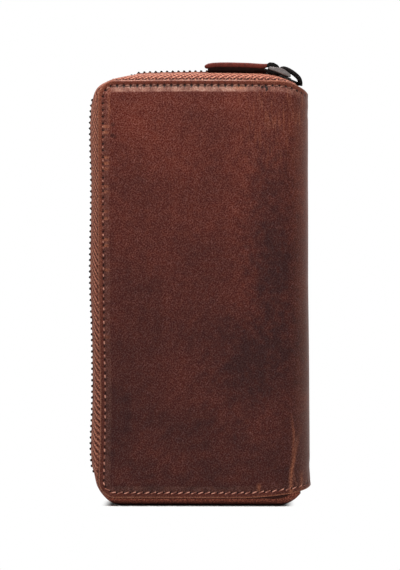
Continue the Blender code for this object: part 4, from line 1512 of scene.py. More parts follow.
    def fit(self) -> list[Object]:
        """Builds the leather and its seam and hangs them on the fold.

        Returns:
            The two pieces.
        """
        shell = self.shell
        leather, seam = self.build(), self.sew()
        word = self.half.word
        if self.half is Half.FRONT:
            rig.replaces(leather, "front_cover", "spine_cover")
        else:
            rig.replaces(leather, "back_cover")
        for piece in (leather, seam):
            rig.slot(piece, Slot.COVER.value)
            y = self.half.value * shell.depth
            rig.blend(
                piece, f"{word}_half", "spine",
                start=(shell.fold - 4 * MM, y, 0.1), end=(shell.fold + 4 * MM, y, 0.1),
            )
        return [leather, seam]


@dataclass(frozen=True)
class ZipSize:
    """Sizes of one zip: its tape and its teeth. Heights count from the crown of the tape."""

    pitch: float
    tooth: tuple[float, float, float]  # along, from the cord to the tip, high
    proud: float
    reach: float
    cord: tuple[float, float, float]  # inner side from the middle plane, width, height
    tape: float

    @property
    def half(self) -> float:
        """Middle plane to the outside of the cord."""
        return self.cord[0] + self.cord[1]


MAIN_ZIP = ZipSize(
    2.6 * MM, (1.1 * MM, 2.7 * MM, 2.3 * MM), 1.38 * MM, 0.95 * MM, (1.75 * MM, 0.6 * MM, 1.2 * MM), 0.8 * MM
)


@dataclass
class ZipBand:
    """The zip round three sides of the wallet: its bulging tapes, and teeth on their cords."""

    shell: Shell
    size: ZipSize
    weave: Material
    metal: Material
    braid: Material
    steps: int = 36
    tuck: float = 4.5 * MM
    flat: float = 5.0 * MM  # half width of the flat crown
    flat_base: float = 5.5 * MM  # the same where the weight rests on it
    # How the crown turns the two corners, in mm: drawn tight over the leather.
    low_bend: tuple[Flat, ...] = (
        (-33.5, 0.0), (-36.3, 0.1), (-39.0, 0.75), (-41.7, 2.4), (-44.2, 5.1), (-45.8, 7.6), (-46.9, 10.2),
        (-48.0, 15.5), (-48.65, 21.0), (-48.85, 27.0),
    )
    # The side run gives a little here and there, as soft goods do.
    side_run: tuple[Flat, ...] = (
        (-48.85, 27.0), (-48.6, 34.0), (-48.2, 42.0), (-48.0, 52.0), (-48.0, 66.0), (-48.25, 82.0),
        (-48.75, 94.0), (-49.0, 106.0), (-48.85, 120.0), (-48.6, 134.0), (-48.55, 149.0), (-48.85, 160.0),
        (-49.05, 170.0),
    )
    high_bend: tuple[Flat, ...] = (
        (-49.05, 170.0), (-48.9, 176.0), (-48.4, 182.5), (-47.85, 186.0), (-47.1, 188.2), (-46.0, 190.0),
        (-44.7, 191.2), (-43.3, 192.1), (-41.5, 192.9), (-38.8, 194.05), (-35.3, 194.85), (-31.0, 195.7),
        (-26.0, 196.25), (-20.0, 196.48),
    )
    stop: float = 2.4 * MM
    # Profile of the woven bead beside the teeth: share of its height, and mm from its inner edge.
    bead: tuple[Flat, ...] = ((0.0, 0.0), (0.6, 0.15), (1.0, 0.5), (0.6, 0.95), (0.0, 1.2))
    cord_sides: int = 6
    cord_rings: int = 220
    # Where the zip turns so tightly that its lips and teeth sink, in X and Z.
    corners: tuple[Flat, ...] = (
        (-0.0455, 0.0075), (-0.0445, 0.1915), (-0.040, 0.1932), (-0.0370, 0.1942), (0.0468, 0.0055),
    )

    def stations(self) -> list[tuple[Vector, Vector]]:
        """Points on the panels' edge and on the zip's crown, from the lower end to the upper end.

        Returns:
            Pairs of points in X and Z.
        """
        shell, steps = self.shell, self.steps
        curl = math.degrees(math.asin((shell.low_end - shell.base_end) / shell.end_radius))
        centre = (shell.base_end, shell.end_radius)
        crown = arc(centre, shell.end_radius, 270 + curl, 270, steps)
        edge = arc(centre, shell.end_radius - shell.low, 270 + curl, 270, steps)
        left, corner, inner = shell.left, shell.corner, shell.left + shell.corner
        top = float(shell.head(corner)) - corner
        low_bend = flow(metres(self.low_bend), 5)
        high_bend = flow(metres(self.high_bend), 5)
        low_edge = [(-31.0 * MM, shell.low), *arc((inner, shell.low + corner), corner, 270, 180, 12)]
        low_edge += [(left, 0.028)]
        high_edge = [(left, 0.166), *arc((inner, top), corner, 180, 90, 12)]
        high_edge += [(-22.0 * MM, float(shell.head(-22.0 * MM - left)))]
        for inside, outside, count in (
            ((edge[-1], low_edge[0]), (crown[-1], low_bend[0]), steps),
            (low_edge, low_bend, 2 * steps),
            ((low_edge[-1], high_edge[0]), flow(metres(self.side_run), 5), 2 * steps),
            (high_edge, high_bend, 2 * steps),
        ):
            edge += even(inside, count)
            crown += even(outside, count)
        share = np.linspace(0.0, 1.0, 2 * steps + 1)[1:]
        first, under = crown[-1][0], edge[-1][0]
        for x, below in zip(first + (shell.end_x - first) * share, under + (shell.end_x - under) * share):
            past = max(below - shell.fold, 0.0)
            dip = 6.2 * MM * (past / shell.depth) ** 1.5
            crown.append((x, shell.crown(x)))
            edge.append((below, float(shell.head(min(below, shell.fold) - left)) - dip))
        return [(Vector(first), Vector(second)) for first, second in zip(edge, crown)]

    @cached_property
    def path(self) -> tuple[np.ndarray, np.ndarray, np.ndarray]:
        """The crown of the zip.

        Returns:
            Distance along it, the points in X and Z, and the outward direction at each.
        """
        stations = self.stations()
        crown = np.array([pair[1] for pair in stations])
        out = np.array([(pair[1] - pair[0]).normalized() for pair in stations])
        step = np.hypot(*np.diff(crown, axis=0).T)
        keep = np.concatenate([[True], step > 1e-7])
        crown, out = crown[keep], out[keep]
        return lengths(crown), crown, out

    def at(self, distance: float) -> tuple[np.ndarray, np.ndarray]:
        """The crown at a distance along it.

        Args:
            distance: from its lower end.

        Returns:
            The point and the outward direction, in X and Z.
        """
        along, crown, out = self.path
        spot, way = (
            np.array([np.interp(distance, along, line[:, k]) for k in (0, 1)]) for line in (crown, out)
        )
        return spot, way

    def tape(self, half: Half) -> Object:
        """Weaves one tape: tucked under the leather, round the edge and flat to the teeth.

        Args:
            half: the half that it is sewn to.

        Returns:
            The tape.
        """
        shell, size = self.shell, self.size
        inner_edge = size.half + shell.gap
        rows, flats = [], []
        along = 0.0
        last = None
        for edge, crown in self.stations():
            along += (crown - last).length if last is not None else 0.0
            last = crown
            past = max(edge.x - shell.fold, 0.0)
            wide = math.sqrt((shell.depth - shell.wall) ** 2 - past * past) - shell.gap
            on_base = max(0.0, 1.0 - crown.y / shell.crown_corner)
            flat = min(self.flat + (self.flat_base - self.flat) * on_base, wide - 2 * size.tape)
            bulge = (crown - edge).length
            out = (crown - edge).normalized()
            bead = 0.1 * MM * (1.0 - on_base)
            lip = self.tight(np.array(crown))
            section = [(-size.tape - 2.6 * MM * lip, inner_edge - 0.95 * MM * lip)]
            section += [(high * bead, inner_edge + off * MM) for high, off in self.bead]
            for turn in np.linspace(0.5 * math.pi, 0.0, 10):
                section.append((bulge * (math.sin(turn) - 1.0), flat + (wide - flat) * math.cos(turn)))
            hem = len(section) - 1  # at the leather's edge
            section += [(-bulge - self.tuck, wide), (-bulge - self.tuck, wide - size.tape)]
            for turn in np.linspace(0.0, 0.5 * math.pi, 6):
                high = -bulge + (bulge - size.tape) * math.sin(turn)
                section.append((high, flat + (wide - size.tape - flat) * math.cos(turn)))
            across = lengths(section)
            for (high, depth), flat_place in zip(section, across[hem] - across):
                spot = crown + out * high
                rows.append((spot.x, half.value * depth, spot.y))
                flats.append((along, flat_place))
            count = len(section)
        faces = tube(len(rows) // count, count)
        piece = skin(f"{half.word}_woven_tape", rows, faces, [self.weave], 50.0)
        lay_flat(piece, flats)
        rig.replaces(piece, f"{half.word}_zip_tape")
        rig.slot(piece, Slot.TAPE.value)
        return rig.ride(piece, f"{half.word}_half")

    def tight(self, crown: np.ndarray) -> float:
        """How near a point of the crown is to one of the tight corners, from 0 to 1."""
        near = min(math.dist(crown, corner) for corner in self.corners)
        return float(smoothstep(9.5 * MM, 4.5 * MM, near))

    def sink(self, crown: np.ndarray, half: Half) -> float:
        """How far the teeth sink: where the weight rests on them, and in the tight corners.

        Args:
            crown: a point of the crown in X and Z.
            half: the row of teeth; the back one lies a little lower.

        Returns:
            The depth.
        """
        on_base = max(0.0, 1.0 - crown[1] / (4.8 * MM)) * float(smoothstep(46.0 * MM, 38.0 * MM, crown[0]))
        back = 0.7 * MM if half is Half.BACK else 0.0
        free = 1.9 * MM * self.tight(crown) + back
        return (self.size.proud + 0.1 * MM) * on_base + free * (1.0 - on_base)

    def chain(self, half: Half) -> Object:
        """Casts one tooth, sets it along the zip and adds the cord that carries the teeth.

        Args:
            half: the half whose tape carries them.

        Returns:
            The teeth and cord as one piece.
        """
        size, shell = self.size, self.shell
        along, crown, _ = self.path
        rest = float(along[np.argmin(np.abs(crown[:, 0] - self.shell.slider_x) + (crown[:, 1] < 0.1))])
        first = self.stop + 2 * shell.gap + 0.5 * size.tooth[0]
        first += 0.5 * size.pitch if half is Half.BACK else 0.0
        last = rest + 1.6 * MM - size.tooth[0]
        bpy.ops.object.select_all(action="DESELECT")
        bpy.ops.mesh.primitive_cube_add(size=1.0)
        model = bpy.context.active_object
        model.scale = size.tooth
        bpy.ops.object.transform_apply(location=False, rotation=False, scale=True)
        with Edit(model) as edit:
            edit.pick("FACE", lambda face: face.normal.y > 0.9)
            bpy.ops.transform.resize(value=(0.86, 1.0, 0.72), center_override=(0.0, 0.5 * size.tooth[1], 0.0))
            edit.pick("EDGE", lambda edge: True)
            bpy.ops.mesh.bevel(offset=0.2 * MM, segments=1, affect="EDGES")
        middle = 0.5 * size.tooth[1] - size.reach
        places = []
        for at in np.arange(first, last, size.pitch):
            spot, way = self.at(at)
            high = size.proud - 0.5 * size.tooth[2] - self.sink(spot, half)
            spot = spot + way * high
            out_3d = Vector((way[0], 0.0, way[1]))
            inward = Vector((0.0, -half.value, 0.0))
            seat = Vector((spot[0], half.value * middle, spot[1]))
            places.append(frame_at(seat, inward.cross(out_3d), out_3d))
        teeth = copies(f"{half.word}_zip_teeth", model, places, [self.metal])
        cord = self.cord(half, first - 0.5 * size.tooth[0], last + size.tooth[0])
        piece = join([teeth, cord], f"{half.word}_zip_teeth")
        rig.replaces(piece, f"{half.word}_zip_chain")
        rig.slot(piece, Slot.METAL.value)
        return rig.ride(piece, f"{half.word}_half")

    def cord(self, half: Half, first: float, last: float) -> Object:
        """Lays the cord under the teeth.

        Args:
            half: the half whose tape carries it.
            first: where the cord starts.
            last: where it ends.

        Returns:
            The cord.
        """
        size = self.size
        inner, wide, tall = size.cord
        rows = []
        stops = np.linspace(first, last, self.cord_rings)
        for at in stops:
            spot, way = self.at(at)
            base = 0.12 * MM - self.sink(spot, half)
            for turn in np.radians(np.arange(0.0, 360.0, 360.0 / self.cord_sides)):
                high = base + 0.5 * tall * math.sin(turn)
                depth = inner + 0.5 * wide + 0.5 * wide * math.cos(turn)
                rows.append((spot[0] + way[0] * high, half.value * depth, spot[1] + way[1] * high))
        return skin("cord", rows, tube(len(stops), self.cord_sides), [self.braid], 70.0)

    def fit(self) -> list[Object]:
        """Makes both tapes and both rows of teeth."""
        return [make(half) for half in Half for make in (self.tape, self.chain)]


@dataclass
class Puller:
    """The slider on the upper run of the zip, its link and the leather strap folded round the link."""

    shell: Shell
    metal: Material
    bright: Material
    leather: Material
    edge: Material
    tail: float = 6.0 * MM
    nose: float = 6.3 * MM
    tail_half: float = 3.3 * MM
    nose_half: float = 4.4 * MM
    plate_thick: float = 0.65 * MM
    roof: float = 0.25 * MM  # underside of the top plate over the crown of the tape
    sill: float = -1.8 * MM  # upper side of the bottom plate
    post: float = 2.2 * MM
    crown_wide: float = 2.4 * MM
    crown_thick: float = 2.1 * MM
    tilt: float = math.radians(13.0)  # the zip's end curls down under the slider
    link_place: tuple[float, float, float] = (41.193 * MM, 0.0, 196.353 * MM)
    link_length: float = 9.6 * MM
    link_wire: float = 0.6 * MM
    strap_place: tuple[float, float, float] = (31.965 * MM, 0.0, 199.0 * MM)
    strap_wide: float = 6.5 * MM
    strap_leather: float = 1.3 * MM

    @property
    def seat(self) -> Matrix:
        """Where the slider sits.

        Returns:
            From the slider's own frame, with X along the zip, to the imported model's.
        """
        turn = math.asin(self.shell.slider_x / self.shell.top_radius)
        return (
            Matrix.Translation((0.0, 0.0, self.shell.top_centre)) @ Matrix.Rotation(turn, 4, "Y")
            @ Matrix.Translation((0.0, 0.0, self.shell.top_radius)) @ Matrix.Rotation(self.tilt, 4, "Y")
        )

    def plan(self) -> list[Flat]:
        """Plan of a slider plate: narrow tail, broad rounded nose.

        Returns:
            Its corners.
        """
        bend, round_nose = 1.6 * MM, 2.24 * MM
        half = arc((bend - self.tail, self.tail_half - bend), bend, 180, 100, 4)
        half += [(0.3 * self.nose, self.nose_half)]
        half += arc((self.nose - round_nose, self.nose_half - round_nose), round_nose, 90, 0, 6)
        return half + [(x, -y) for x, y in reversed(half)]

    def slider(self) -> Object:
        """Casts the slider: two plates with turned lips, and the wedge between them.

        Returns:
            The slider.
        """
        top, low = self.roof + self.plate_thick, self.sill - self.plate_thick
        parts = [
            plate("top", self.plan(), self.roof, top, self.metal, 0.32 * MM, 3),
            plate("bottom", self.plan(), low, self.sill, self.metal, 0.32 * MM, 3),
        ]
        boss = [(-5.2 * MM, -1.9 * MM), (1.6 * MM, -2.6 * MM), (1.6 * MM, 2.6 * MM), (-5.2 * MM, 1.9 * MM)]
        parts.append(plate("boss", boss, top - 0.2 * MM, top + 0.35 * MM, self.metal, 0.3 * MM))
        start, bend, end = 1.6 * MM - self.tail, 0.3 * self.nose, 0.62 * self.nose
        lip = [(start, self.tail_half), (bend, self.nose_half), (end, self.nose_half)]
        lip += [(x, y - thick * MM) for (x, y), thick in zip(reversed(lip), (0.8, 0.8, 0.7))]
        for side in (-1, 1):
            shape = [(x, side * y) for x, y in lip][::side]
            parts.append(plate("lip", shape, -0.25 * MM, self.roof + 0.3 * MM, self.metal, 0.12 * MM))
            parts.append(plate("lip", shape, self.sill - 0.3 * MM, -1.22 * MM, self.metal, 0.12 * MM))
        tip = 2.2 * MM
        half = 0.5 * self.post
        wedge = [(tip, 0.0), (tip + half, -half), (self.nose - 0.6 * MM, -half)]
        wedge += [(self.nose - 0.6 * MM, half), (tip + half, half)]
        parts.append(plate("wedge", wedge, self.sill - 0.2 * MM, self.roof + 0.2 * MM, self.metal))
        piece = settle(join(parts, "slider_casting"), self.seat)
        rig.replaces(piece, "slider_body")
        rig.slot(piece, Slot.METAL.value)
        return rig.ride(piece, "slider")

    def bridge(self) -> Object:
        """Bends the crown from the slider's nose back over its top plate.

        Returns:
            The crown.
        """
        wide, thick = self.crown_wide, self.crown_thick
        stops = ((36.7, 195.6), (36.7, 197.4), (37.9, 198.65), (39.6, 198.5), (41.7, 197.5), (43.9, 195.9),
                 (45.5, 194.2), (46.1, 192.3), (46.0, 190.9))
        path = flow(metres(stops), 4)
        section = rounded(0.5 * thick, 0.5 * wide, 0.3 * thick)
        piece = sweep("slider_bridge", path, section, self.metal)
        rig.replaces(piece, "slider_crown")
        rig.slot(piece, Slot.METAL.value)
        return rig.ride(piece, "slider")

    def link(self) -> Object:
        """Stamps the link: two cheeks with a raised lobe at the strap, joined by a bar at each end.

        Returns:
            The link.
        """
        wire, long = self.link_wire, self.link_length
        near = 0.5 * self.crown_wide + self.shell.gap + wire
        far = 0.5 * self.strap_wide + self.shell.gap + wire
        bar = ((0.98, -0.80), (0.65, -1.55), (-0.8, -1.50), (-4.4, -1.0), (-9.6, -0.65), (-10.1, 0.0),
               (-9.4, 0.65), (-5.0, 1.50), (-2.6, 1.25), (-0.6, 0.5), (0.55, -0.15))
        lobe = ((-4.6, 0.6), (-5.2, 1.7), (-6.2, 2.4), (-8.2, 2.85), (-10.1, 2.5), (-11.0, 1.5), (-10.8, 0.5),
                (-10.0, -0.2))
        flange = ((0.3, -0.4), (-9.8, -0.3), (-10.6, -1.2), (-9.8, -2.5), (-8.0, -2.45), (-5.5, -1.95),
                  (-0.5, -1.85))
        parts = []
        for side in (-1, 1):
            for shape, thick, metal in (
                (bar, 0.6 * MM, self.bright), (lobe, 0.45 * MM, self.metal), (flange, 0.45 * MM, self.metal),
            ):
                outline = metres(shape)
                cheek = settle(plate("cheek", outline, -thick, thick, metal, 0.22 * MM, 2), STAND)
                for vert in cheek.data.vertices:
                    share = min(max(-vert.co.x / long, 0.0), 1.0)
                    vert.co.y += side * (near + (far - near) * share)
                parts.append(cheek)
        for x, half in ((0.0, near), (-long, far)):
            bpy.ops.object.select_all(action="DESELECT")
            bpy.ops.mesh.primitive_cylinder_add(
                vertices=16, radius=wire, depth=2 * half, location=(x, 0.0, 0.0),
                rotation=(0.5 * math.pi, 0.0, 0.0),
            )
            bar = bpy.context.active_object
            bpy.ops.object.transform_apply(location=True, rotation=True, scale=True)
            bar.data.materials.append(self.metal)
            parts.append(smooth(bar))
        piece = join(parts, "link_ring")
        place = self.link_place
        lift = math.asin((self.strap_place[2] - place[2]) / long)
        settle(piece, Matrix.Translation(place) @ Matrix.Rotation(lift, 4, "Y"))
        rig.replaces(piece, "pull_link")
        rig.slot(piece, Slot.METAL.value)
        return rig.ride(piece, "pull_link")

    def tab(self) -> Object:
        """Folds the strap round the far bar of the link: a padded upper leaf over a black dyed lower one.

        Returns:
            The strap.
        """
        wide, leaf = self.strap_wide, self.strap_leather
        upper = ((-29.3, 0.45), (-29.1, 0.50), (-28.6, 0.62), (-27.4, 0.95), (-25.5, 1.25), (-22.0, 1.42),
                 (-18.0, 1.42), (-13.0, 1.30), (-9.0, 1.15), (-5.5, 0.90), (-2.6, 0.75))
        lower = ((-2.6, -1.15), (-5.5, -0.92), (-9.0, -0.72), (-13.0, -0.54), (-18.0, -0.44), (-22.0, -0.42),
                 (-25.5, -0.45), (-27.2, -0.50), (-27.7, -0.50), (-27.9, -0.50))
        path = metres(upper) + arc((0.0, 0.0), 1.35 * MM, 110, -110, 14)
        path += metres(lower)
        tips = [(0.55, 0.86), (0.92, 0.96)]
        scales = [(0.62, 0.84), (0.98, 0.92), (1.4, 0.98)] + [(1.75, 1.0)] * 8 + [(1.0, 1.0)] * 15
        scales += [(1.6, 1.0)] * 8 + [(1.6 * a, b) for a, b in tips[::-1]]
        section = rounded(0.5 * leaf, 0.5 * wide, 0.4 * MM)
        section += [(out * 0.5 * leaf, side * 2.45 * MM) for out in (-1, 1) for side in (-1, 1)]
        section.sort(key=lambda spot: math.atan2(spot[1], spot[0]))
        piece = sweep("strap_leather", path, section, self.leather, scales)
        piece.data.materials.append(self.edge)
        for number, face in enumerate(piece.data.polygons):
            face.material_index = 1 if number // len(section) >= len(upper) + 12 else 0
        # The lower leaf hangs a little over the teeth on both sides.
        for vert in piece.data.vertices[len(section) * (len(upper) + 14):]:
            if abs(vert.co.y) > 2.6 * MM and vert.co.z < -1.0 * MM:
                vert.co.z = min(vert.co.z, -2.2 * MM)
        settle(piece, Matrix.Translation(self.strap_place))
        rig.replaces(piece, "pull_strap")
        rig.slot(piece, Slot.STRAP.value)
        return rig.ride(piece, "pull_strap")

    def fit(self) -> list[Object]:
        """Makes the slider, its crown, the link and the strap."""
        return [self.slider(), self.bridge(), self.link(), self.tab()]


@dataclass
class Inside:
    """What the open wallet shows: linings, stepped card pockets, bellows and the zipped coin leaf."""

    shell: Shell
    cloth: Material
    leather: Material
    thread: Material
    weave: Material
    lining_inset: float = 1.5 * MM
    lining_outer: float = 10.2 * MM
    lining: float = 0.5 * MM
    pocket_outer: float = 9.4 * MM
    pocket: float = 0.6 * MM
    pocket_step: float = 13.0 * MM
    pocket_inset: float = 7.0 * MM
    pocket_low: float = 11.6 * MM
    pocket_high: float = 185.0 * MM
    leaf: tuple[float, float, float, float] = (-35.3 * MM, 47.15 * MM, 13.6 * MM, 183.0 * MM)
    leaf_half: float = 2.75 * MM
    leaf_wall: float = 0.6 * MM
    gusset: tuple[float, float, float] = (18.0 * MM, 60.0 * MM, 0.5 * MM)

    def rectangle(self, left: float, right: float, low: float, high: float, radius: float) -> list[Flat]:
        """A rectangle in X and Z whose two left corners are rounded."""
        points = [(right, low)] + arc((left + radius, low + radius), radius, 270, 180, 5)
        return points + arc((left + radius, high - radius), radius, 180, 90, 5) + [(right, high)]

    def layer(
        self, name: str, shape: list[Flat], half: Half, outer: float, thick: float, stuff: Material,
        bevel: float,
    ) -> Object:
        """Cuts one flat layer that lies parallel to a panel.

        Args:
            name: name of the piece.
            shape: its outline in X and Z.
            half: the side of the middle plane that it is on.
            outer: distance of its outer face from the middle plane.
            thick: its thickness.
            stuff: its material.
            bevel: rounding of its edges.

        Returns:
            The layer.
        """
        low, high = sorted((half.value * outer, half.value * (outer - thick)))
        return settle(plate(name, shape, low, high, stuff, bevel), STAND)

    def row(self, name: str, half: Half, depth: float, spots: list[Flat]) -> Object:
        """Sews a row of small stitches on the inward face of a layer.

        Args:
            name: name of the piece.
            half: the side of the middle plane that the layer is on.
            depth: distance of the sewn face from the middle plane.
            spots: the middle of each stitch in X and Z, in order.

        Returns:
            The stitches as one piece.
        """
        model = dash(6, 0.22 * MM, 1.7 * MM, (0.08 * MM, 0.15 * MM))
        places = []
        for index, (x, z) in enumerate(spots):
            before, after = spots[max(index - 1, 0)], spots[min(index + 1, len(spots) - 1)]
            along = Vector((after[0] - before[0], 0.0, after[1] - before[1]))
            out = Vector((0.0, -half.value, 0.0))
            places.append(frame_at(Vector((x, half.value * depth, z)), along, out))
        return copies(name, model, places, [self.thread])

    def panel(self, half: Half) -> list[Object]:
        """Lining and card pockets of one half.

        Args:
            half: which half.

        Returns:
            The pieces.
        """
        shell, word = self.shell, half.word
        right = shell.fold - shell.gap
        left, low = shell.left + self.lining_inset, shell.low + self.lining_inset
        high = shell.high - shell.bow - self.lining_inset
        shape = self.rectangle(left, right, low, high, shell.corner - self.lining_inset)
        name = f"{word}_cloth"
        lining = self.layer(name, shape, half, self.lining_outer, self.lining, self.cloth, 0.1 * MM)
        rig.replaces(lining, f"{word}_lining")
        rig.slot(lining, Slot.LINING.value)
        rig.sheet(lining, flat=(right - left, high - low), held="stretched", rests_on=[f"{word}_stiffener"])
        pieces = [lining]
        for number in range(3):
            left = shell.left + self.pocket_inset + number * self.pocket_step
            outer = self.pocket_outer - number * (self.pocket + shell.gap)
            shape = self.rectangle(left, right, self.pocket_low, self.pocket_high, 2.0 * MM)
            name = f"{word}_card_slot_{number + 1}"
            flap = self.layer(name, shape, half, outer, self.pocket, self.leather, 0.2 * MM)
            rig.replaces(flap, f"{word}_card_pocket_{number + 1}")
            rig.slot(flap, Slot.POCKET.value)
            rows = np.arange(self.pocket_low + 4 * MM, self.pocket_high - 4 * MM, 2.4 * MM)
            spots = [(left + 2.0 * MM, float(z)) for z in rows]
            seam = self.row(f"{name}_seam", half, outer - self.pocket + 0.02 * MM, spots)
            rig.slot(seam, Slot.POCKET.value)
            pieces += [flap, seam]
        for piece in pieces:
            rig.ride(piece, f"{word}_half")
        return pieces

    def spine_cloth(self) -> Object:
        """Lines the inside of the spine.

        Returns:
            The lining.
        """
        shell = self.shell
        outer = shell.depth - shell.wall - shell.gap
        low, high = shell.low + 12.0 * MM, shell.high - shell.bow - 12.0 * MM
        turns = np.radians(np.linspace(-84.0, 84.0, 33))
        section = [(outer - self.lining, low), (outer, low), (outer, high), (outer - self.lining, high)]
        rows = [
            (shell.fold + radius * math.cos(turn), radius * math.sin(turn), z)
            for turn in turns for radius, z in section
        ]
        piece = skin("spine_cloth", rows, tube(len(turns), len(section)), [self.cloth])
        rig.replaces(piece, "spine_lining")
        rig.slot(piece, Slot.LINING.value)
        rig.sheet(
            piece, flat=(float(turns[-1] - turns[0]) * outer, high - low), held="stretched",
            rests_on=["front_leather"],
        )
        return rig.ride(piece, "spine")

    def coin_leaf(self) -> list[Object]:
        """The two walls of the coin pocket, the binding between them and the tapes of its zip.

        Returns:
            The pieces.
        """
        left, right, low, high = self.leaf
        pieces = []
        for half in Half:
            shape = self.rectangle(left, right, low, high, 2.0 * MM)
            name = f"{half.word}_coin_wall"
            wall = self.layer(name, shape, half, self.leaf_half, self.leaf_wall, self.leather, 0.2 * MM)
            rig.replaces(wall, f"coin_pocket_{half.word}_wall")
            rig.slot(wall, Slot.POCKET.value)
            pieces += [wall, self.coin_tape(half)]
        deep = self.leaf_half - self.leaf_wall - self.shell.gap
        mouth, wide = left + 2.0 * MM, 2.0 * MM
        outline = [(mouth, low), (right, low), (right, high), (mouth, high), (mouth, high - wide)]
        outline += [(right - wide, high - wide), (right - wide, low + wide), (mouth, low + wide)]
        binding = settle(plate("coin_binding", outline, -deep, deep, self.cloth, 0.3 * MM), STAND)
        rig.replaces(binding, "coin_pocket_binding")
        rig.slot(binding, Slot.LINING.value)
        pieces.append(binding)
        for piece in pieces:
            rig.ride(piece, "spine")
        return pieces

    def coin_tape(self, half: Half) -> Object:
        """Weaves one tape of the coin zip, sewn to the outside of its wall.

        Args:
            half: the side of the leaf.

        Returns:
            The tape.
        """
        left, _, low, high = self.leaf
        tape, rise, lap, flat = 0.5 * MM, 3.0 * MM, 6.0 * MM, 2.9 * MM
        wide, inner_edge = self.leaf_half + self.shell.gap + tape, 1.9 * MM
        turns = np.linspace(0.5 * math.pi, 0.0, 8)
        section = [(-rise + tape, inner_edge), (-rise, inner_edge)]
        section += [(-rise * math.sin(t), flat + (wide - flat) * math.cos(t)) for t in turns]
        section += [(lap, wide), (lap, wide - tape)]
        within = wide - tape - flat
        section += [((tape - rise) * math.sin(t), flat + within * math.cos(t)) for t in turns[::-1]]
        across = lengths(section)
        stops = np.linspace(low + 4.0 * MM, high - 4.0 * MM, 40)
        rows = [(left + x, half.value * depth, float(z)) for z in stops for x, depth in section]
        faces = tube(len(stops), len(section))
        piece = skin(f"{half.word}_coin_tape", rows, faces, [self.weave], 50.0)
        lay_flat(piece, [(float(z), place) for z in stops for place in across])
        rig.replaces(piece, f"coin_zip_{half.word}_tape")
        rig.slot(piece, Slot.TAPE.value)
        return piece

    def bellows(self, half: Half, end: int) -> Object:
        """Folds one V of leather between the card pockets and the leaf.

        Args:
            half: the side of the leaf.
            end: 1 above and -1 below.

        Returns:
            The bellows.
        """
        deep, long, thick = self.gusset
        outer, inner = 6.7 * MM, self.leaf_half + self.shell.gap
        middle = 0.5 * (outer + inner)
        mouth = self.leaf[3] if end > 0 else self.leaf[2]
        steps = np.linspace(0.0, 1.0, 9)
        fold = [(mouth - end * deep * t, t ** 1.6) for t in steps]
        first = [(outer - (outer - middle - 0.12 * MM) * bend, z) for z, bend in fold]
        second = [(inner + (middle - inner - 0.12 * MM) * bend, z) for z, bend in fold]
        crotch = mouth - end * (deep - 3.0 * MM)
        back = [(inner + thick, mouth), (middle, crotch), (outer - thick, mouth)]
        outline = [(half.value * y, z) for y, z in first + second[::-1] + back]
        right = self.shell.fold - 4 * self.shell.gap
        name = f"{half.word}_{'top' if end > 0 else 'bottom'}"
        piece = plate(f"{name}_bellows", outline, right - long, right, self.leather, 0.1 * MM)
        settle(piece, Matrix(((0, 0, 1, 0), (1, 0, 0, 0), (0, 1, 0, 0), (0, 0, 0, 1))))
        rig.replaces(piece, f"{name}_gusset")
        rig.slot(piece, Slot.POCKET.value)
        near, far = (0.0, half.value * inner, 0.1), (0.0, half.value * outer, 0.1)
        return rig.blend(piece, "spine", f"{half.word}_half", start=near, end=far)

    def fit(self) -> list[Object]:
        """Makes everything inside."""
        pieces = [*self.panel(Half.FRONT), *self.panel(Half.BACK), self.spine_cloth(), *self.coin_leaf()]
        return pieces + [self.bellows(half, end) for half in Half for end in (1, -1)]


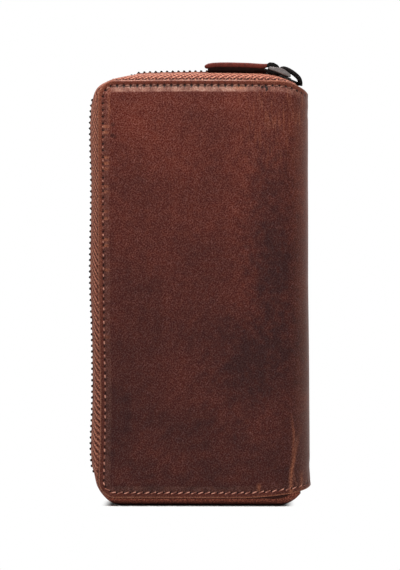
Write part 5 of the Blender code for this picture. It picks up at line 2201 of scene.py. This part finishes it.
@dataclass
class Studio:
    """White sweep, soft light from above and the long lens that the photograph was taken with."""

    aim: tuple[float, float, float] = (0.41 * MM, 0.0, 100.18 * MM)
    distance: float = 1.6
    yaw: float = math.radians(1.5)
    rise: float = math.radians(2.5)
    roll: float = math.radians(-0.05)
    lens: float = 221.4
    ambient: float = 0.17
    # The shadow on the paper: its middle, how fast it fades each way, its reach there, and the fade.
    shadow_middle: Row = (-0.5 * MM, 0.0, 0.0)
    shadow_slope: Row = (2.0, 1.0, 0.0)
    shadow_reach: Row = (-78.0 * MM, -9.0 * MM, 0.0)
    shadow_fade: float = 11.0 * MM

    def camera(self) -> None:
        """Stands the camera at the photograph's angle."""
        data = bpy.data.cameras.new("studio_camera")
        data.lens, data.sensor_width = self.lens, 36.0
        data.clip_start, data.clip_end = 0.05, 20.0
        camera = hang("studio_camera", data)
        level = math.cos(self.rise)
        back = Vector((math.sin(self.yaw) * level, -math.cos(self.yaw) * level, math.sin(self.rise)))
        turn = back.to_track_quat("Z", "Y").to_matrix().to_4x4() @ Matrix.Rotation(self.roll, 4, "Z")
        camera.matrix_world = Matrix.Translation(Vector(self.aim) + back * self.distance) @ turn
        bpy.context.scene.camera = camera

    def lamp(self, name: str, place: Row, size: Flat, power: float, aim: Row) -> None:
        """Hangs one soft box.

        Args:
            name: its name.
            place: where it hangs.
            size: its width and height.
            power: in watts.
            aim: the point that it faces.
        """
        data = bpy.data.lights.new(name, "AREA")
        data.shape, data.size, data.size_y, data.energy = "RECTANGLE", size[0], size[1], power
        lamp = hang(name, data)
        way = Vector(place) - Vector(aim)
        lamp.matrix_world = Matrix.Translation(place) @ way.to_track_quat("Z", "Y").to_matrix().to_4x4()

    def white(self, add: Add) -> NodeSocket:
        """Tells rays that the lens, a mirror or glass sends from light itself.

        Args:
            add: adds a node to the tree.

        Returns:
            One for such rays, and zero for light.
        """
        path = add("LightPath").node.outputs
        both = add("Math MAXIMUM", (path["Is Camera Ray"], path["Is Glossy Ray"]))
        return add("Math MAXIMUM", (both, path["Is Transmission Ray"]))

    def sky(self) -> None:
        """Lights the scene evenly, behind a background that the lens sees as white."""
        world = bpy.data.worlds.new("white_room")
        bpy.context.scene.world = world
        world.use_nodes = True
        tree = world.node_tree
        add = partial(node, tree)
        strength = add("MapRange", (self.white(add), 0.0, 1.0, self.ambient, 1.0))
        wire(tree.nodes["Background"], {"Color": linear("ffffff"), "Strength": strength})

    def floor(self) -> None:
        """Lays white paper, which keeps the shadow beside the wallet and is lit to white beyond it."""
        bpy.ops.object.select_all(action="DESELECT")
        bpy.ops.mesh.primitive_plane_add(size=6.0)
        floor = bpy.context.active_object
        floor.name = "white_paper"
        made, shader, add = blank("matt_white_paper")
        wire(shader, {"Base Color": linear("f4f4f2"), "Roughness": 0.9, "Specular IOR Level": 0.1})
        spot = add("TexCoord", out="Object")
        away = add("VectorMath SUBTRACT", (spot, self.shadow_middle))
        away = add("VectorMath ABSOLUTE", (away,))
        away = add("VectorMath MULTIPLY_ADD", (away, self.shadow_slope, self.shadow_reach))
        away = add("VectorMath MAXIMUM", (away, (0.0, 0.0, 0.0)))
        away = add("VectorMath LENGTH", (away,), out="Value")
        far = add("MapRange", (away, 0.0, self.shadow_fade), interpolation_type="SMOOTHSTEP")
        glow = add("Math MULTIPLY", (far, self.white(add)))
        light = add("Emission", (linear("ffffff"),))
        mixed = add("MixShader", (glow, shader.outputs["BSDF"], light))
        wire(made.node_tree.nodes["Material Output"], {"Surface": mixed})
        floor.data.materials.append(made)
        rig.stage(floor)

    def set_up(self) -> None:
        """Sets camera, light and floor."""
        bpy.context.scene.view_settings.view_transform = "Standard"
        self.camera()
        self.sky()
        self.floor()
        self.lamp("top_box", (-0.05, -0.12, 0.48), (0.50, 0.26), 3.5, (0.0, 0.0, 0.12))
        self.lamp("back_box", (0.0, 0.9, 0.7), (0.8, 0.6), 4.0, (0.0, 0.0, 0.1))


def dress_castings(nodes: dict[str, Object], finishes: dict[str, Material]) -> None:
    """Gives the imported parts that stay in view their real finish.

    Args:
        nodes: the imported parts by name.
        finishes: a material for each of these parts.
    """
    for name, material in finishes.items():
        for slot in nodes[name].material_slots:
            slot.material = material
        LOG.info("dressed %s in %s", name, material.name)


def main() -> None:
    """Builds the wallet and its studio."""
    logging.basicConfig(level=logging.INFO, format="%(name)s: %(message)s")
    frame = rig.load()
    packed_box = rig.bounds()
    shell = Shell()
    leather = WaxedLeather().make()
    thread = WaxedThread().make()
    braid = WaxedThread("braided_polyester_cord", "6b3d33", "a06a58", 0.8 * MM, 0.9).make()
    weave = HerringboneTape().make()
    black = Plated("black_nickel_zinc", "100e0e", "3a3635", 0.34).make()
    teeth = Plated("blackened_brass_teeth", "070606", "151313", 0.5, metal=0.0).make()
    bright = Plated("gunmetal_nickel_zinc", "6a6260", "a49c9a", 0.30, 2.5 * MM).make()
    strap = FleckedLeather("waxed_strap_leather", "3f160e", "63281f").make()
    edge = FleckedLeather(
        "black_dyed_flesh_side", "0d0706", "1e110e", grain=0.4 * MM, roughness=0.9, shine=0.02
    ).make()
    pocket = FleckedLeather("skived_pocket_leather", "5a2f26", "7b4638").make()
    cloth = WovenLining().make()
    board = GreyBoard().make()
    assemblies = [Cover(half, shell, leather, thread) for half in Half]
    assemblies += [
        ZipBand(shell, MAIN_ZIP, weave, teeth, braid),
        Puller(shell, black, bright, strap, edge),
        Inside(shell, cloth, pocket, thread, weave),
    ]
    for assembly in assemblies:
        for piece in assembly.fit():
            LOG.info("%s: %s, %d faces", type(assembly).__name__, piece.name, len(piece.data.polygons))
    castings = {name: board for name in ("front_stiffener", "back_stiffener")}
    castings |= {name: black for name in ("zip_end_stop", "coin_zip_front_chain", "coin_zip_back_chain")}
    castings |= {name: bright for name in ("coin_slider_body", "coin_slider_crown", "coin_pull")}
    dress_castings(frame["nodes"], castings)
    Studio().set_up()
    boxes = {"packed": packed_box, "dressed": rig.bounds()}
    with open("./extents.json", "w", encoding="utf-8") as kept:
        json.dump({name: [list(map(float, corner)) for corner in box] for name, box in boxes.items()}, kept)


if __name__ == "__main__":
    main()
